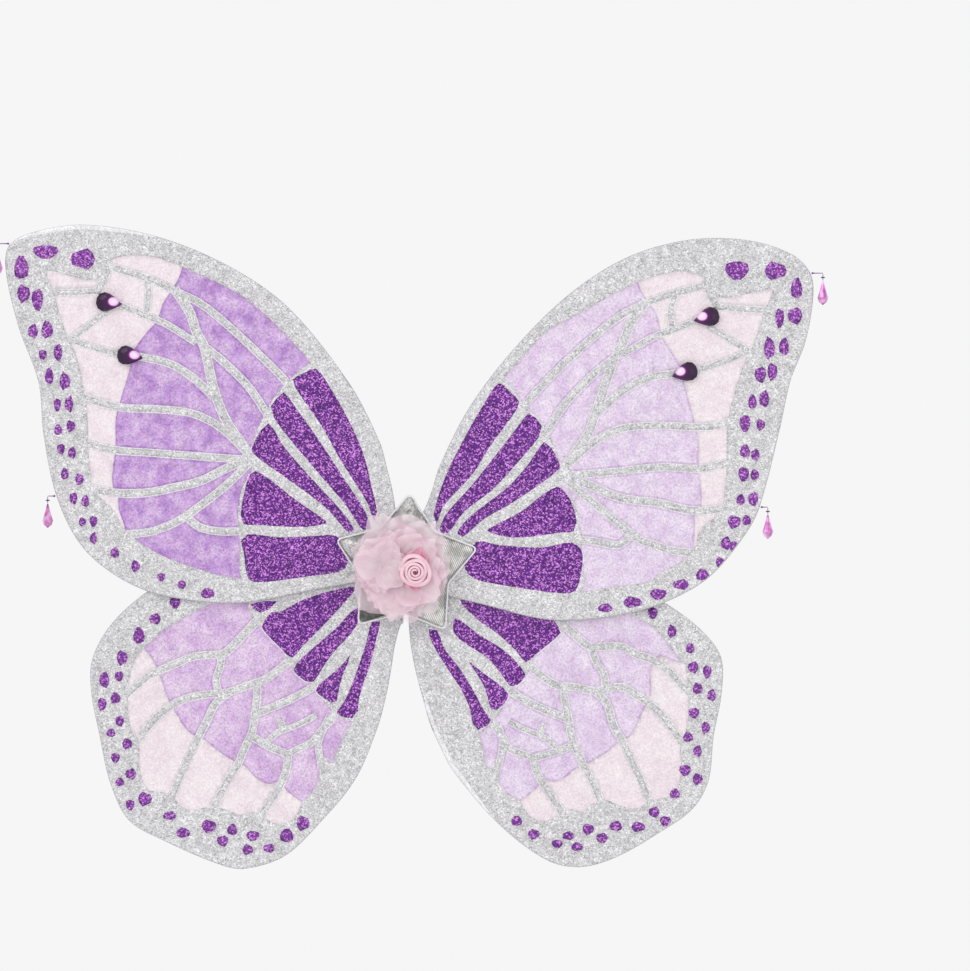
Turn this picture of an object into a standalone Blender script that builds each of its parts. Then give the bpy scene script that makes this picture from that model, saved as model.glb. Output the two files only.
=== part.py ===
"""A child's costume fairy wings: four wire-and-nylon wing panels, a padded star with a tulle
flower at the middle, glued gems, hanging drop beads, and two elastic arm loops on a back pad.

Frame: +Z up, +Y towards the wearer, the decorated side faces -Y, and -X is the wearer's left.
The origin is the middle of the back pad's rear face, the flat face that rests on the wearer.
"""

import math

import bmesh
import bpy
from mathutils import Matrix, Vector

COLLECTION = "fairy_wings"

# Overall sizes, from the middle plane outwards and from the origin up or down
UPPER_REACH = 0.275
UPPER_RISE = 0.228
LOWER_REACH = 0.216
LOWER_DROP = 0.210

# Wire, cloth and the gap kept between pieces that touch
CLEAR = 0.0003
WIRE_RADIUS = 0.001
CLOTH_WALL = 0.0004
COVER_HALF = WIRE_RADIUS + CLEAR + CLOTH_WALL
RIM_ROUND = 0.0007
OUTLINE_STEPS = 3
WELD = 1e-6

# Back pad, a foam slab in a cloth case
PAD_HALF_WIDTH = 0.0125
PAD_HALF_HEIGHT = 0.0195
PAD_THICKNESS = 0.004
PAD_CORNER = 0.004
PAD_CLOTH = 0.0006

# Binding, a ribbon sleeve round the twisted wire ends, as deep as the two covers beside it
BINDING_HALF_WIDTH = 0.0122
BINDING_HALF_DEPTH = 2 * COVER_HALF + CLEAR
BINDING_HALF_HEIGHT = 0.034
BINDING_WALL = 0.001
BINDING_SIDES = 24
TWIST_LOBE = 0.0004
TWIST_RADIUS = BINDING_HALF_DEPTH - BINDING_WALL - CLEAR - TWIST_LOBE
TWIST_TURNS = 1.5
TWIST_SHORT = 0.003
TWIST_SIDES = 16
TWIST_ROWS = 14

# Wing hinges: where the wires bend as they leave the binding
HINGE_GAP = 0.0018
ROOT_GAP = 0.0015
HINGE_X = BINDING_HALF_WIDTH + HINGE_GAP
BINDING_Y = -PAD_THICKNESS - CLEAR - BINDING_HALF_DEPTH
ROOT_X = HINGE_X + ROOT_GAP
LOWER_Y = BINDING_Y + COVER_HALF + CLEAR
UPPER_Y = BINDING_Y - COVER_HALF - CLEAR
WIRE_EXIT = 0.0045
WIRE_TURN_IN = 0.001
WIRE_TURN_DOWN = 0.0026

# Star, a stuffed cushion of two cloth panels
STAR_CENTRE = (-0.0016, -0.0045)
STAR_TIP_RADIUS = 0.0505
STAR_NOTCH_RADIUS = 0.031
STAR_TOP_ANGLE = math.radians(86.6)
STAR_CLOTH = 0.0005
STAR_CROWN = 0.0082
STAR_REAR_SHARE = 0.99
WADDING_SHARE = 0.94
STAR_BACK_Y = UPPER_Y - COVER_HALF - CLEAR

# Tulle flower and ribbon rose
FLOWER_CENTRE = (-0.0051, -0.0075)
FLOWER_RADIUS = 0.0315
TULLE_DEPTH = 0.0062
TULLE_LOBE = 0.07
MIDDLE_SHARE = 0.92
PUFF_SHARE = 0.42
ROSE_CENTRE = (0.0054, -0.0075)
ROSE_RADIUS = 0.011
ROSE_DEPTH = 0.009
ROSE_INNER_RADIUS = 0.0016
ROSE_TURNS = 2.5
ROSE_STEPS_PER_TURN = 20
ROSE_SLOPE = 0.25
ROSE_RIBBON = 0.0008

# Gems, flat-backed teardrops
GEM_LENGTH = 0.018
GEM_WIDTH = 0.013
GEM_DEPTH = 0.0042
GEM_GIRDLE = 0.0012
GEM_SIDES = 14

# Hanging charms
THREAD_RADIUS = 0.00025
SEED_RING = 0.001
SEED_TUBE = 0.0005
SEED_DROP = 0.0024
LINK_LENGTH = 0.0042
DROP_LENGTH = 0.0167
DROP_RADIUS = 0.00365
DROP_SIDES = 8
KNOT_RADIUS = 0.0009

# Elastic arm loops, and their ends, which are sewn to the binding above and below the pad
STRAP_WIDTH = 0.010
STRAP_THICKNESS = 0.0012
STRAP_X = 0.008
STRAP_Y = 0.0065
STRAP_REST = math.radians(50)
STRAP_STEPS = 3
TAB_WIDTH = 0.009
TAB_LENGTH = 0.011
TAB_THICKNESS = 0.002
TAB_ROUND = 0.0005
TAB_TO_PAD = 0.001

# Outlines run from the root's top, round the outer edge, to the root's bottom. The first number is
# the way from the root line to the reach, the second is the height as a share of the rise or drop.
UPPER_LEFT = [
    (0.0, 0.132), (0.001, 0.254), (0.015, 0.360), (0.092, 0.525), (0.252, 0.752), (0.404, 0.874),
    (0.593, 0.963), (0.779, 0.999), (0.904, 0.982), (0.981, 0.943), (0.994, 0.874), (0.961, 0.702),
    (0.908, 0.531), (0.894, 0.373), (0.860, 0.191), (0.796, 0.044), (0.695, -0.054),
    (0.576, -0.107), (0.380, -0.128), (0.173, -0.086), (0.0, -0.053),
]
UPPER_RIGHT = [
    (0.0, 0.132), (0.003, 0.202), (0.023, 0.281), (0.100, 0.454), (0.213, 0.623), (0.357, 0.787),
    (0.511, 0.901), (0.674, 0.954), (0.827, 0.954), (0.944, 0.913), (0.994, 0.855), (1.001, 0.781),
    (0.981, 0.649), (0.942, 0.535), (0.913, 0.386), (0.861, 0.158), (0.823, 0.075),
    (0.734, -0.046), (0.627, -0.119), (0.496, -0.164), (0.315, -0.179), (0.133, -0.132),
    (0.0, -0.079),
]
LOWER_LEFT = [
    (0.0, 0.029), (0.222, 0.048), (0.496, 0.029), (0.696, -0.038), (0.825, -0.114),
    (0.935, -0.214), (0.995, -0.324), (0.998, -0.429), (0.970, -0.567), (0.933, -0.724),
    (0.870, -0.843), (0.751, -0.910), (0.551, -0.990), (0.471, -1.0), (0.342, -0.960),
    (0.222, -0.852), (0.102, -0.712), (0.027, -0.548), (0.001, -0.419), (0.0, -0.171),
]
LOWER_RIGHT = [
    (0.0, 0.010), (0.222, 0.019), (0.496, -0.014), (0.671, -0.071), (0.810, -0.148),
    (0.920, -0.229), (0.985, -0.314), (0.988, -0.429), (0.960, -0.571), (0.943, -0.714),
    (0.890, -0.805), (0.781, -0.881), (0.621, -0.967), (0.501, -0.995), (0.392, -0.971),
    (0.232, -0.857), (0.077, -0.686), (0.012, -0.567), (0.0, -0.462), (0.0, -0.171),
]

# Gems: wing side, place on the wing as in the outlines, and the way the point of the drop aims
GEMS = [
    ("left_outer", -1, (0.721, 0.767), math.radians(-8)),
    ("left_inner", -1, (0.666, 0.608), math.radians(-10)),
    ("right_outer", 1, (0.721, 0.722), math.radians(195)),
    ("right_inner", 1, (0.664, 0.558), math.radians(197)),
]

# Charms: name, wing side, outline point they are sewn at, and how far out the thread holds them
CHARMS = [
    ("tip_left", -1, 9, 0.0088),
    ("hip_left", -1, 14, 0.0060),
    ("tip_right", 1, 10, 0.0085),
    ("hip_right", 1, 15, 0.0056),
]

# Arm loop route in its own plane: the way out from the hinge line, and the height
STRAP_ROUTE = [
    (0.000, 0.013), (0.004, 0.004), (0.014, -0.009), (0.032, -0.027), (0.051, -0.049),
    (0.064, -0.076), (0.066, -0.102), (0.055, -0.121), (0.037, -0.119), (0.023, -0.097),
    (0.012, -0.069), (0.005, -0.050), (0.000, -0.041),
]


def clear_scene():
    for obj in list(bpy.data.objects):
        bpy.data.objects.remove(obj, do_unlink=True)
    collection = bpy.data.collections.new(COLLECTION)
    bpy.context.scene.collection.children.link(collection)
    return collection


def material(name, colour, roughness=0.5, metallic=0.0):
    made = bpy.data.materials.new(name)
    made.use_nodes = True
    shader = made.node_tree.nodes["Principled BSDF"]
    shader.inputs["Base Color"].default_value = (*colour, 1)
    shader.inputs["Roughness"].default_value = roughness
    shader.inputs["Metallic"].default_value = metallic
    return made


def smooth_path(points, steps, closed=False):
    """Points read from a Catmull-Rom curve through the given ones."""
    vectors = [Vector(p) for p in points]
    count = len(vectors)
    spans = count if closed else count - 1
    path = []
    for i in range(spans):
        if closed:
            a, b, c, d = (vectors[(i + k) % count] for k in (-1, 0, 1, 2))
        else:
            a, b = vectors[max(i - 1, 0)], vectors[i]
            c, d = vectors[i + 1], vectors[min(i + 2, count - 1)]
        for k in range(steps):
            t = k / steps
            path.append(
                0.5 * (2 * b + (c - a) * t + (2 * a - 5 * b + 4 * c - d) * t**2
                       + (3 * b - a - 3 * c + d) * t**3)
            )
    if not closed:
        path.append(vectors[-1])
    return path


def inset(path, distance):
    """The same open path moved to its right, in the plane."""
    moved = []
    for i, point in enumerate(path):
        along = (path[min(i + 1, len(path) - 1)] - path[max(i - 1, 0)]).normalized()
        moved.append(point + Vector((along.y, -along.x)) * distance)
    return moved


class Builder:
    """Links each new object to the collection with its material, and places it."""

    def __init__(self, collection):
        self.collection = collection

    def place(self, name, data, surface, matrix=None, parent=None):
        obj = bpy.data.objects.new(name, data)
        if surface is not None:
            data.materials.append(surface)
        self.collection.objects.link(obj)
        obj.matrix_world = matrix if matrix is not None else Matrix.Identity(4)
        if parent is not None:
            obj.parent = parent
            obj.matrix_parent_inverse = Matrix.Translation(parent.location).inverted()
        return obj

    def joint(self, name, location, parent=None):
        """An empty on a joint's axis."""
        empty = bpy.data.objects.new(name, None)
        empty.empty_display_size = 0.01
        self.collection.objects.link(empty)
        empty.location = location
        if parent is not None:
            empty.parent = parent
            empty.matrix_parent_inverse = Matrix.Translation(parent.location).inverted()
        return empty

    def tube(self, name, points, radius, surface, parent=None, sides=2):
        curve = bpy.data.curves.new(name, "CURVE")
        curve.dimensions = "3D"
        curve.bevel_depth = radius
        curve.bevel_resolution = sides
        curve.use_fill_caps = True
        spline = curve.splines.new("POLY")
        spline.points.add(len(points) - 1)
        for target, point in zip(spline.points, points):
            target.co = (*point, 1)
        return self.place(name, curve, surface, parent=parent)

    def mesh(self, name, bm, surface, matrix=None, parent=None, smooth=True):
        bmesh.ops.recalc_face_normals(bm, faces=bm.faces)
        data = bpy.data.meshes.new(name)
        bm.to_mesh(data)
        bm.free()
        if smooth:
            data.shade_smooth()
            data.set_sharp_from_angle(angle=math.radians(40))
        return self.place(name, data, surface, matrix, parent)


def flat_curve(name, outline, half_thickness, edge_round=0.0):
    """A filled flat outline in the XZ plane, as thick as twice half_thickness."""
    curve = bpy.data.curves.new(name, "CURVE")
    curve.dimensions = "2D"
    curve.fill_mode = "BOTH"
    curve.extrude = half_thickness - edge_round
    curve.bevel_depth = edge_round
    curve.bevel_resolution = 0
    curve.offset = -edge_round
    spline = curve.splines.new("POLY")
    spline.points.add(len(outline) - 1)
    for target, point in zip(spline.points, outline):
        target.co = (point[0], point[1], 0, 1)
    spline.use_cyclic_u = True
    return curve


def upright(y):
    """Turns a flat shape from the XY plane to the XZ plane at y, its top towards -Y."""
    return Matrix.Translation((0, y, 0)) @ Matrix.Rotation(math.pi / 2, 4, "X")


def curve_to_bmesh(curve, matrix):
    """A welded mesh of a curve, in world space."""
    temporary = bpy.data.objects.new("temporary", curve)
    bpy.context.scene.collection.objects.link(temporary)
    temporary.matrix_world = matrix
    graph = bpy.context.evaluated_depsgraph_get()
    data = bpy.data.meshes.new_from_object(temporary.evaluated_get(graph))
    bm = bmesh.new()
    bm.from_mesh(data)
    bmesh.ops.transform(bm, matrix=matrix, verts=bm.verts)
    bmesh.ops.remove_doubles(bm, verts=bm.verts, dist=WELD)
    bpy.data.objects.remove(temporary, do_unlink=True)
    bpy.data.meshes.remove(data)
    return bm


def loft(rings, cap_first=True, cap_last=True):
    """Skins rings of equal length; a ring of one point closes that end."""
    bm = bmesh.new()
    loops = [[bm.verts.new(p) for p in ring] for ring in rings]
    for low, high in zip(loops, loops[1:]):
        count = max(len(low), len(high))
        for i in range(count):
            j = (i + 1) % count
            if len(low) == 1:
                bm.faces.new((low[0], high[j], high[i]))
            elif len(high) == 1:
                bm.faces.new((low[i], low[j], high[0]))
            else:
                bm.faces.new((low[i], low[j], high[j], high[i]))
    if cap_first and len(loops[0]) > 1:
        bm.faces.new(reversed(loops[0]))
    if cap_last and len(loops[-1]) > 1:
        bm.faces.new(loops[-1])
    return bm


def solidify(obj, thickness, offset=-1.0):
    shell = obj.modifiers.new("thickness", "SOLIDIFY")
    shell.thickness = thickness
    shell.offset = offset
    shell.use_even_offset = True
    return shell


def on_wing(place, reach, height):
    """A place on a wing, from its shares of the reach and height, on the +X side."""
    return Vector((ROOT_X + place[0] * (reach - ROOT_X), place[1] * height))


def wing_panel(build, name, side, outline, reach, height, y, top_turns, surfaces, parent):
    """One panel: its wire loop, and the nylon cover that is stretched over both sides of it."""
    corners = [on_wing(p, reach, height) for p in outline]
    edge = smooth_path(corners, OUTLINE_STEPS)

    # the cover is a flat pouch with rounded edges, open along the root where the wire goes in
    flat = flat_curve(name + "_outline", [(side * p.x, p.y) for p in edge], COVER_HALF, RIM_ROUND)
    bm = curve_to_bmesh(flat, upright(y))
    low, high = edge[-1].y, edge[0].y
    inner = ROOT_X + RIM_ROUND + 10 * WELD
    at_root = [
        f for f in bm.faces
        if all(abs(v.co.x) < inner for v in f.verts) and low < f.calc_center_median().z < high
    ]
    bmesh.ops.delete(bm, geom=at_root, context="FACES")
    cover = build.mesh(name + "_cover", bm, surfaces["nylon"], parent=parent)
    solidify(cover, CLOTH_WALL)

    # the wire lies inside the cover's edge and leaves the root towards the binding
    ring = inset(edge, COVER_HALF)
    depth = Vector((0, WIRE_EXIT))
    start, end = ring[0], ring[-1]
    if top_turns:
        first = [Vector((HINGE_X, start.y)) - depth,
                 start - Vector((WIRE_TURN_IN, WIRE_TURN_DOWN))]
        last = [Vector((HINGE_X, end.y))]
    else:
        first = [Vector((HINGE_X, start.y))]
        last = [end + Vector((-WIRE_TURN_IN, WIRE_TURN_DOWN)), Vector((HINGE_X, end.y)) + depth]
    route = [Vector((side * p.x, y, p.y)) for p in first + ring + last]
    build.tube(name + "_wire", route, WIRE_RADIUS, surfaces["wire"], parent, sides=1)
    return corners


def gem(build, name, side, place, aim, surface, parent):
    """A flat-backed teardrop, cut to a small flat table."""
    centre = on_wing(place, UPPER_REACH, UPPER_RISE)
    angles = [2 * math.pi * (i + 0.5) / GEM_SIDES for i in range(GEM_SIDES)]
    width = [math.sin(a) * abs(math.sin(a / 2)) ** 1.2 for a in angles]
    widest = max(width)

    def ring(scale, lift):
        return [
            (scale * GEM_LENGTH / 2 * math.cos(a), scale * GEM_WIDTH / 2 * w / widest, lift)
            for a, w in zip(angles, width)
        ]

    bm = loft([ring(0.94, 0), ring(1, GEM_GIRDLE), ring(0.78, GEM_DEPTH * 0.72),
               ring(0.45, GEM_DEPTH)])
    front = UPPER_Y - COVER_HALF - CLEAR
    matrix = Matrix.Translation((side * centre.x, front, centre.y)) @ upright(0)
    matrix = matrix @ Matrix.Rotation(aim, 4, "Z")
    build.mesh("gem_" + name, bm, surface, matrix, parent, smooth=False)


def charm(build, name, side, anchor, arm, surfaces, wing):
    """A thread sewn to the wing's edge, and the beads that swing from its end."""
    top, across = Vector((side * (anchor.x + arm), UPPER_Y, anchor.y)), Vector((side, 0, 0))
    start = Vector((side * (anchor.x + 2 * CLEAR + KNOT_RADIUS), UPPER_Y, anchor.y))
    knot = [start - across * KNOT_RADIUS * 0.8, start, start + across * KNOT_RADIUS * 0.9, top]
    curve = build.tube("charm_thread_" + name, knot, THREAD_RADIUS, surfaces["thread"], wing, 1)
    for point, swell in zip(curve.data.splines[0].points, (2.0, KNOT_RADIUS / THREAD_RADIUS, 1.6, 1)):
        point.radius = swell

    swing = build.joint("swing_" + name, top, wing)
    hang = top - Vector((0, 0, THREAD_RADIUS + CLEAR))
    link_end = hang - Vector((0, 0, LINK_LENGTH))
    build.tube("charm_link_" + name, [hang, (hang + link_end) / 2, link_end], THREAD_RADIUS,
               surfaces["thread"], swing, 1)

    bpy.ops.mesh.primitive_torus_add(
        major_segments=10, minor_segments=6, major_radius=SEED_RING, minor_radius=SEED_TUBE,
        location=hang - Vector((0, 0, SEED_DROP)),
    )
    seed = bpy.context.object
    seed.name = "seed_bead_" + name
    seed.data.materials.append(surfaces["seed"])
    for used in seed.users_collection:
        used.objects.unlink(seed)
    build.collection.objects.link(seed)
    seed.parent = swing
    seed.matrix_parent_inverse = Matrix.Translation(top).inverted()

    # the drop bead is turned with few steps, which leaves its flat facets
    profile = [(0, 0), (0.14, 0.02), (0.42, 0.28), (1, 0.70), (0.72, 0.88), (0, 1)]
    bm = bmesh.new()
    line = [bm.verts.new((DROP_RADIUS * r, 0, -DROP_LENGTH * z)) for r, z in profile]
    for a, b in zip(line, line[1:]):
        bm.edges.new((a, b))
    data = bpy.data.meshes.new("drop_bead_" + name)
    bm.to_mesh(data)
    bm.free()
    place = Matrix.Translation(link_end - Vector((0, 0, CLEAR)))
    drop = build.place("drop_bead_" + name, data, surfaces["drop"], place, swing)
    turned = drop.modifiers.new("turned", "SCREW")
    turned.steps = turned.render_steps = DROP_SIDES
    turned.use_merge_vertices = True
    turned.merge_threshold = 10 * WELD
    turned.use_smooth_shade = False


def star_ring(scale, y):
    """The star's ten corners, scaled about its middle."""
    ring = []
    for i in range(10):
        radius = scale * (STAR_TIP_RADIUS if i % 2 == 0 else STAR_NOTCH_RADIUS)
        angle = STAR_TOP_ANGLE + i * math.pi / 5
        ring.append((STAR_CENTRE[0] + radius * math.cos(angle), y,
                     STAR_CENTRE[1] + radius * math.sin(angle)))
    return ring


def star(build, surfaces):
    """A flat rear panel, a crowned front panel sewn to it, and the wadding between."""
    panel_y = STAR_BACK_Y - STAR_CLOTH
    rear = [star_ring(STAR_REAR_SHARE, y) for y in (STAR_BACK_Y, panel_y)]
    build.mesh("star_rear_panel", loft(rear), surfaces["lame"], smooth=False)
    edge_y = panel_y - CLEAR
    crown = [(1, 0), (1, 0.1), (0.9, 0.42), (0.64, 0.82), (0.28, 1)]
    rings = [star_ring(scale, edge_y - lift * STAR_CROWN) for scale, lift in crown]
    front = build.mesh("star_front_panel", loft(rings, cap_first=False), surfaces["lame"])
    solidify(front, STAR_CLOTH)
    # the wadding keeps its gap to the front panel's inner side
    spare = 2 * STAR_CLOTH + 2 * CLEAR
    filled = [star_ring(scale * WADDING_SHARE, edge_y - lift * (STAR_CROWN - spare))
              for scale, lift in [(1, 0), (0.98, 0.1), (0.84, 0.42), (0.6, 0.8), (0.25, 0.94)]]
    build.mesh("star_wadding", loft(filled), surfaces["wadding"])
    return edge_y - STAR_CROWN - CLEAR


def tulle_layer(build, name, centre, radius, front_y, depth, lobes, turn, surface):
    """A puff of gathered tulle: a flattened ball with a lobed edge."""
    bm = bmesh.new()
    bmesh.ops.create_uvsphere(bm, u_segments=24, v_segments=8, radius=1)
    for v in bm.verts:
        angle = math.atan2(v.co.y, v.co.x)
        out = radius * (1 - TULLE_LOBE + TULLE_LOBE * math.cos(lobes * angle + turn))
        v.co = (v.co.x * out, v.co.y * out, v.co.z * depth / 2)
    matrix = Matrix.Translation((centre[0], 0, centre[1])) @ upright(front_y + depth / 2)
    build.mesh(name, bm, surface, matrix)


def flower(build, star_front, surfaces):
    """Two full layers of tulle, a smaller puff on the left and the ribbon rose on the right."""
    back = star_front - TULLE_DEPTH
    middle = back - CLEAR - TULLE_DEPTH
    tulle = surfaces["tulle"]
    tulle_layer(build, "tulle_back", FLOWER_CENTRE, FLOWER_RADIUS, back, TULLE_DEPTH, 7, 0.4, tulle)
    tulle_layer(build, "tulle_middle", FLOWER_CENTRE, FLOWER_RADIUS * MIDDLE_SHARE, middle,
                TULLE_DEPTH, 5, 1.3, tulle)
    puff_radius = FLOWER_RADIUS * PUFF_SHARE
    puff_x = ROSE_CENTRE[0] - ROSE_RADIUS - puff_radius - 2 * CLEAR - ROSE_RIBBON
    front = middle - CLEAR - ROSE_DEPTH
    puff_centre = (puff_x, FLOWER_CENTRE[1])
    tulle_layer(build, "tulle_front", puff_centre, puff_radius, front, ROSE_DEPTH, 4, 0.9, tulle)

    # the rose is one ribbon rolled into a spiral, on edge
    steps = round(ROSE_TURNS * ROSE_STEPS_PER_TURN)
    bm = bmesh.new()
    rows = []
    for i in range(steps + 1):
        share = i / steps
        angle = 2 * math.pi * ROSE_TURNS * share
        radius = ROSE_INNER_RADIUS + (ROSE_RADIUS - ROSE_INNER_RADIUS) * share
        top = ROSE_DEPTH * (1 - ROSE_SLOPE * share)
        x, z = ROSE_CENTRE[0] + radius * math.cos(angle), ROSE_CENTRE[1] + radius * math.sin(angle)
        rows.append((bm.verts.new((x, middle - CLEAR, z)), bm.verts.new((x, middle - top, z))))
    for a, b in zip(rows, rows[1:]):
        bm.faces.new((a[0], b[0], b[1], a[1]))
    rose = build.mesh("ribbon_rose", bm, surfaces["ribbon"])
    solidify(rose, ROSE_RIBBON, offset=0)


def rounded_box_outline(half_width, half_height, corner):
    """Corner points of a rectangle with rounded corners, four to a corner."""
    points = []
    for quarter, (sx, sz) in enumerate([(1, 1), (-1, 1), (-1, -1), (1, -1)]):
        for k in range(4):
            angle = math.pi / 2 * (quarter + k / 3)
            points.append((sx * (half_width - corner) + corner * math.cos(angle),
                           sz * (half_height - corner) + corner * math.sin(angle)))
    return points


def back_pad(build, surfaces):
    """A cloth case, open on its hidden front, and the foam slab in it."""
    outline = rounded_box_outline(PAD_HALF_WIDTH, PAD_HALF_HEIGHT, PAD_CORNER)
    rear = [(x, 0, z) for x, z in outline]
    front = [(x, -PAD_THICKNESS, z) for x, z in outline]
    case = build.mesh("pad_case", loft([rear, front], cap_last=False), surfaces["felt"])
    solidify(case, PAD_CLOTH)
    spare = PAD_CLOTH + CLEAR
    core = rounded_box_outline(PAD_HALF_WIDTH - spare, PAD_HALF_HEIGHT - spare, PAD_CORNER - spare)
    foam = [[(x, y, z) for x, z in core] for y in (-spare, -PAD_THICKNESS)]
    build.mesh("pad_foam", loft(foam), surfaces["foam"])


def binding(build, surfaces):
    """The twisted wire ends, and the ribbon sleeve wound round them."""
    twist = []
    for j in range(TWIST_ROWS + 1):
        z = (BINDING_HALF_HEIGHT - TWIST_SHORT) * (2 * j / TWIST_ROWS - 1)
        turn = 2 * math.pi * TWIST_TURNS * j / TWIST_ROWS
        ring = []
        for i in range(TWIST_SIDES):
            angle = 2 * math.pi * i / TWIST_SIDES
            radius = TWIST_RADIUS + TWIST_LOBE * math.cos(4 * angle)
            ring.append((radius * math.cos(angle + turn),
                         BINDING_Y + radius * math.sin(angle + turn), z))
        twist.append(ring)
    build.mesh("wire_twist", loft(twist), surfaces["wire"])

    def sleeve_ring(wall, z):
        wide, deep = BINDING_HALF_WIDTH - wall, BINDING_HALF_DEPTH - wall
        ring = []
        for i in range(BINDING_SIDES):
            angle = 2 * math.pi * i / BINDING_SIDES
            c, s = math.cos(angle), math.sin(angle)
            ring.append((math.copysign(abs(c) ** 0.5, c) * wide,
                         BINDING_Y + math.copysign(abs(s) ** 0.5, s) * deep, z))
        return ring

    half = BINDING_HALF_HEIGHT
    rings = [sleeve_ring(0, -half), sleeve_ring(0, half), sleeve_ring(BINDING_WALL, half),
             sleeve_ring(BINDING_WALL, -half)]
    bm = loft(rings + rings[:1], cap_first=False, cap_last=False)
    bmesh.ops.remove_doubles(bm, verts=bm.verts, dist=WELD)
    build.mesh("binding_sleeve", bm, surfaces["binding"])


def straps(build, surfaces):
    """Two elastic arm loops, and the stitched ends that hold each above and below the pad."""
    route = smooth_path(STRAP_ROUTE, STRAP_STEPS)
    tab_y = BINDING_Y + BINDING_HALF_DEPTH + CLEAR + TAB_THICKNESS / 2
    tab_z = PAD_HALF_HEIGHT + TAB_TO_PAD + TAB_LENGTH / 2
    for word, side in (("left", -1), ("right", 1)):
        hinge = build.joint(word + "_strap_hinge", (side * STRAP_X, STRAP_Y, 0))
        curve = bpy.data.curves.new(word + "_strap_route", "CURVE")
        curve.dimensions = "2D"
        curve.fill_mode = "NONE"
        curve.extrude = STRAP_WIDTH / 2
        spline = curve.splines.new("POLY")
        spline.points.add(len(route) - 1)
        for target, point in zip(spline.points, route):
            target.co = (point.x, point.y, 0, 1)
        heading = STRAP_REST if side > 0 else math.pi - STRAP_REST
        matrix = (Matrix.Translation(hinge.location) @ Matrix.Rotation(heading, 4, "Z")
                  @ Matrix.Rotation(math.pi / 2, 4, "X"))
        strap = build.mesh(word + "_strap", curve_to_bmesh(curve, matrix), surfaces["elastic"],
                           parent=hinge)
        solidify(strap, STRAP_THICKNESS, offset=0)
        for height, sign in (("top", 1), ("bottom", -1)):
            bm = bmesh.new()
            bmesh.ops.create_cube(bm, size=1)
            bmesh.ops.scale(bm, vec=(TAB_WIDTH, TAB_THICKNESS, TAB_LENGTH), verts=bm.verts)
            tab = build.mesh(f"strap_end_{word}_{height}", bm, surfaces["elastic"],
                             Matrix.Translation((side * STRAP_X, tab_y, sign * tab_z)))
            edge = tab.modifiers.new("soft edges", "BEVEL")
            edge.width = TAB_ROUND
            edge.segments = 1


def wings(build, surfaces):
    for word, side, upper, lower in (
        ("left", -1, UPPER_LEFT, LOWER_LEFT), ("right", 1, UPPER_RIGHT, LOWER_RIGHT),
    ):
        fold = build.joint(word + "_wing_hinge", (side * HINGE_X, BINDING_Y, 0))
        corners = wing_panel(build, "upper_" + word, side, upper, UPPER_REACH, UPPER_RISE, UPPER_Y,
                             True, surfaces, fold)
        wing_panel(build, "lower_" + word, side, lower, LOWER_REACH, LOWER_DROP, LOWER_Y,
                   False, surfaces, fold)
        for name, gem_side, place, aim in GEMS:
            if gem_side == side:
                gem(build, name, side, place, aim, surfaces["gem"], fold)
        for name, charm_side, corner, arm in CHARMS:
            if charm_side == side:
                charm(build, name, side, corners[corner], arm, surfaces, fold)


def main():
    build = Builder(clear_scene())
    surfaces = {
        "nylon": material("printed_nylon", (0.78, 0.66, 0.85), 0.6),
        "wire": material("white_steel_wire", (0.78, 0.78, 0.80), 0.4, 0.8),
        "gem": material("foiled_acrylic_gem", (0.22, 0.03, 0.30), 0.08, 0.6),
        "drop": material("clear_pink_drop", (0.80, 0.45, 0.70), 0.08),
        "seed": material("dark_seed_bead", (0.12, 0.05, 0.14), 0.15),
        "thread": material("white_thread", (0.85, 0.82, 0.86), 0.8),
        "lame": material("silver_lame", (0.70, 0.70, 0.71), 0.35, 0.8),
        "wadding": material("polyester_wadding", (0.9, 0.9, 0.9), 0.95),
        "tulle": material("pink_tulle", (0.90, 0.74, 0.83), 0.8),
        "ribbon": material("pink_satin_ribbon", (0.92, 0.55, 0.68), 0.45),
        "binding": material("white_ribbon", (0.88, 0.87, 0.88), 0.6),
        "felt": material("white_felt", (0.86, 0.86, 0.87), 0.9),
        "foam": material("white_foam", (0.93, 0.93, 0.90), 0.9),
        "elastic": material("white_elastic", (0.90, 0.90, 0.90), 0.75),
    }
    binding(build, surfaces)
    back_pad(build, surfaces)
    star_front = star(build, surfaces)
    flower(build, star_front, surfaces)
    straps(build, surfaces)
    wings(build, surfaces)


main()
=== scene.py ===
"""Fairy wings: glitter-printed nylon on wire, a padded star with a tulle flower, and elastic arm loops."""
import math

import bpy
import numpy as np
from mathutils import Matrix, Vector, geometry, noise


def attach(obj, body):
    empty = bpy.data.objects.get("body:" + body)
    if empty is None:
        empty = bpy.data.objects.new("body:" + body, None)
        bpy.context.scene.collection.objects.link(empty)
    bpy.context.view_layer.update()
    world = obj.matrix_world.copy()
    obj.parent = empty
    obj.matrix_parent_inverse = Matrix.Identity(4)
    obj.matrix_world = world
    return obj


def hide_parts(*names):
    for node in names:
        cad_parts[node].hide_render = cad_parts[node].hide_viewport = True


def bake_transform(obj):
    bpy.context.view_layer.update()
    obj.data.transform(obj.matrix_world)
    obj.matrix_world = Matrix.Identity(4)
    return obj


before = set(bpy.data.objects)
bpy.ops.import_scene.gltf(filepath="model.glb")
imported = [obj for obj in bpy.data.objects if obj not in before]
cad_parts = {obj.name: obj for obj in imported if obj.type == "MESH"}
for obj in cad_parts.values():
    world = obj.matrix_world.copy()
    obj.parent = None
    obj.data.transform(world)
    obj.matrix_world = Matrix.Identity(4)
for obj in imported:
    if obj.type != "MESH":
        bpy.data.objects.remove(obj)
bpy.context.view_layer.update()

MM = 0.001

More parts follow.
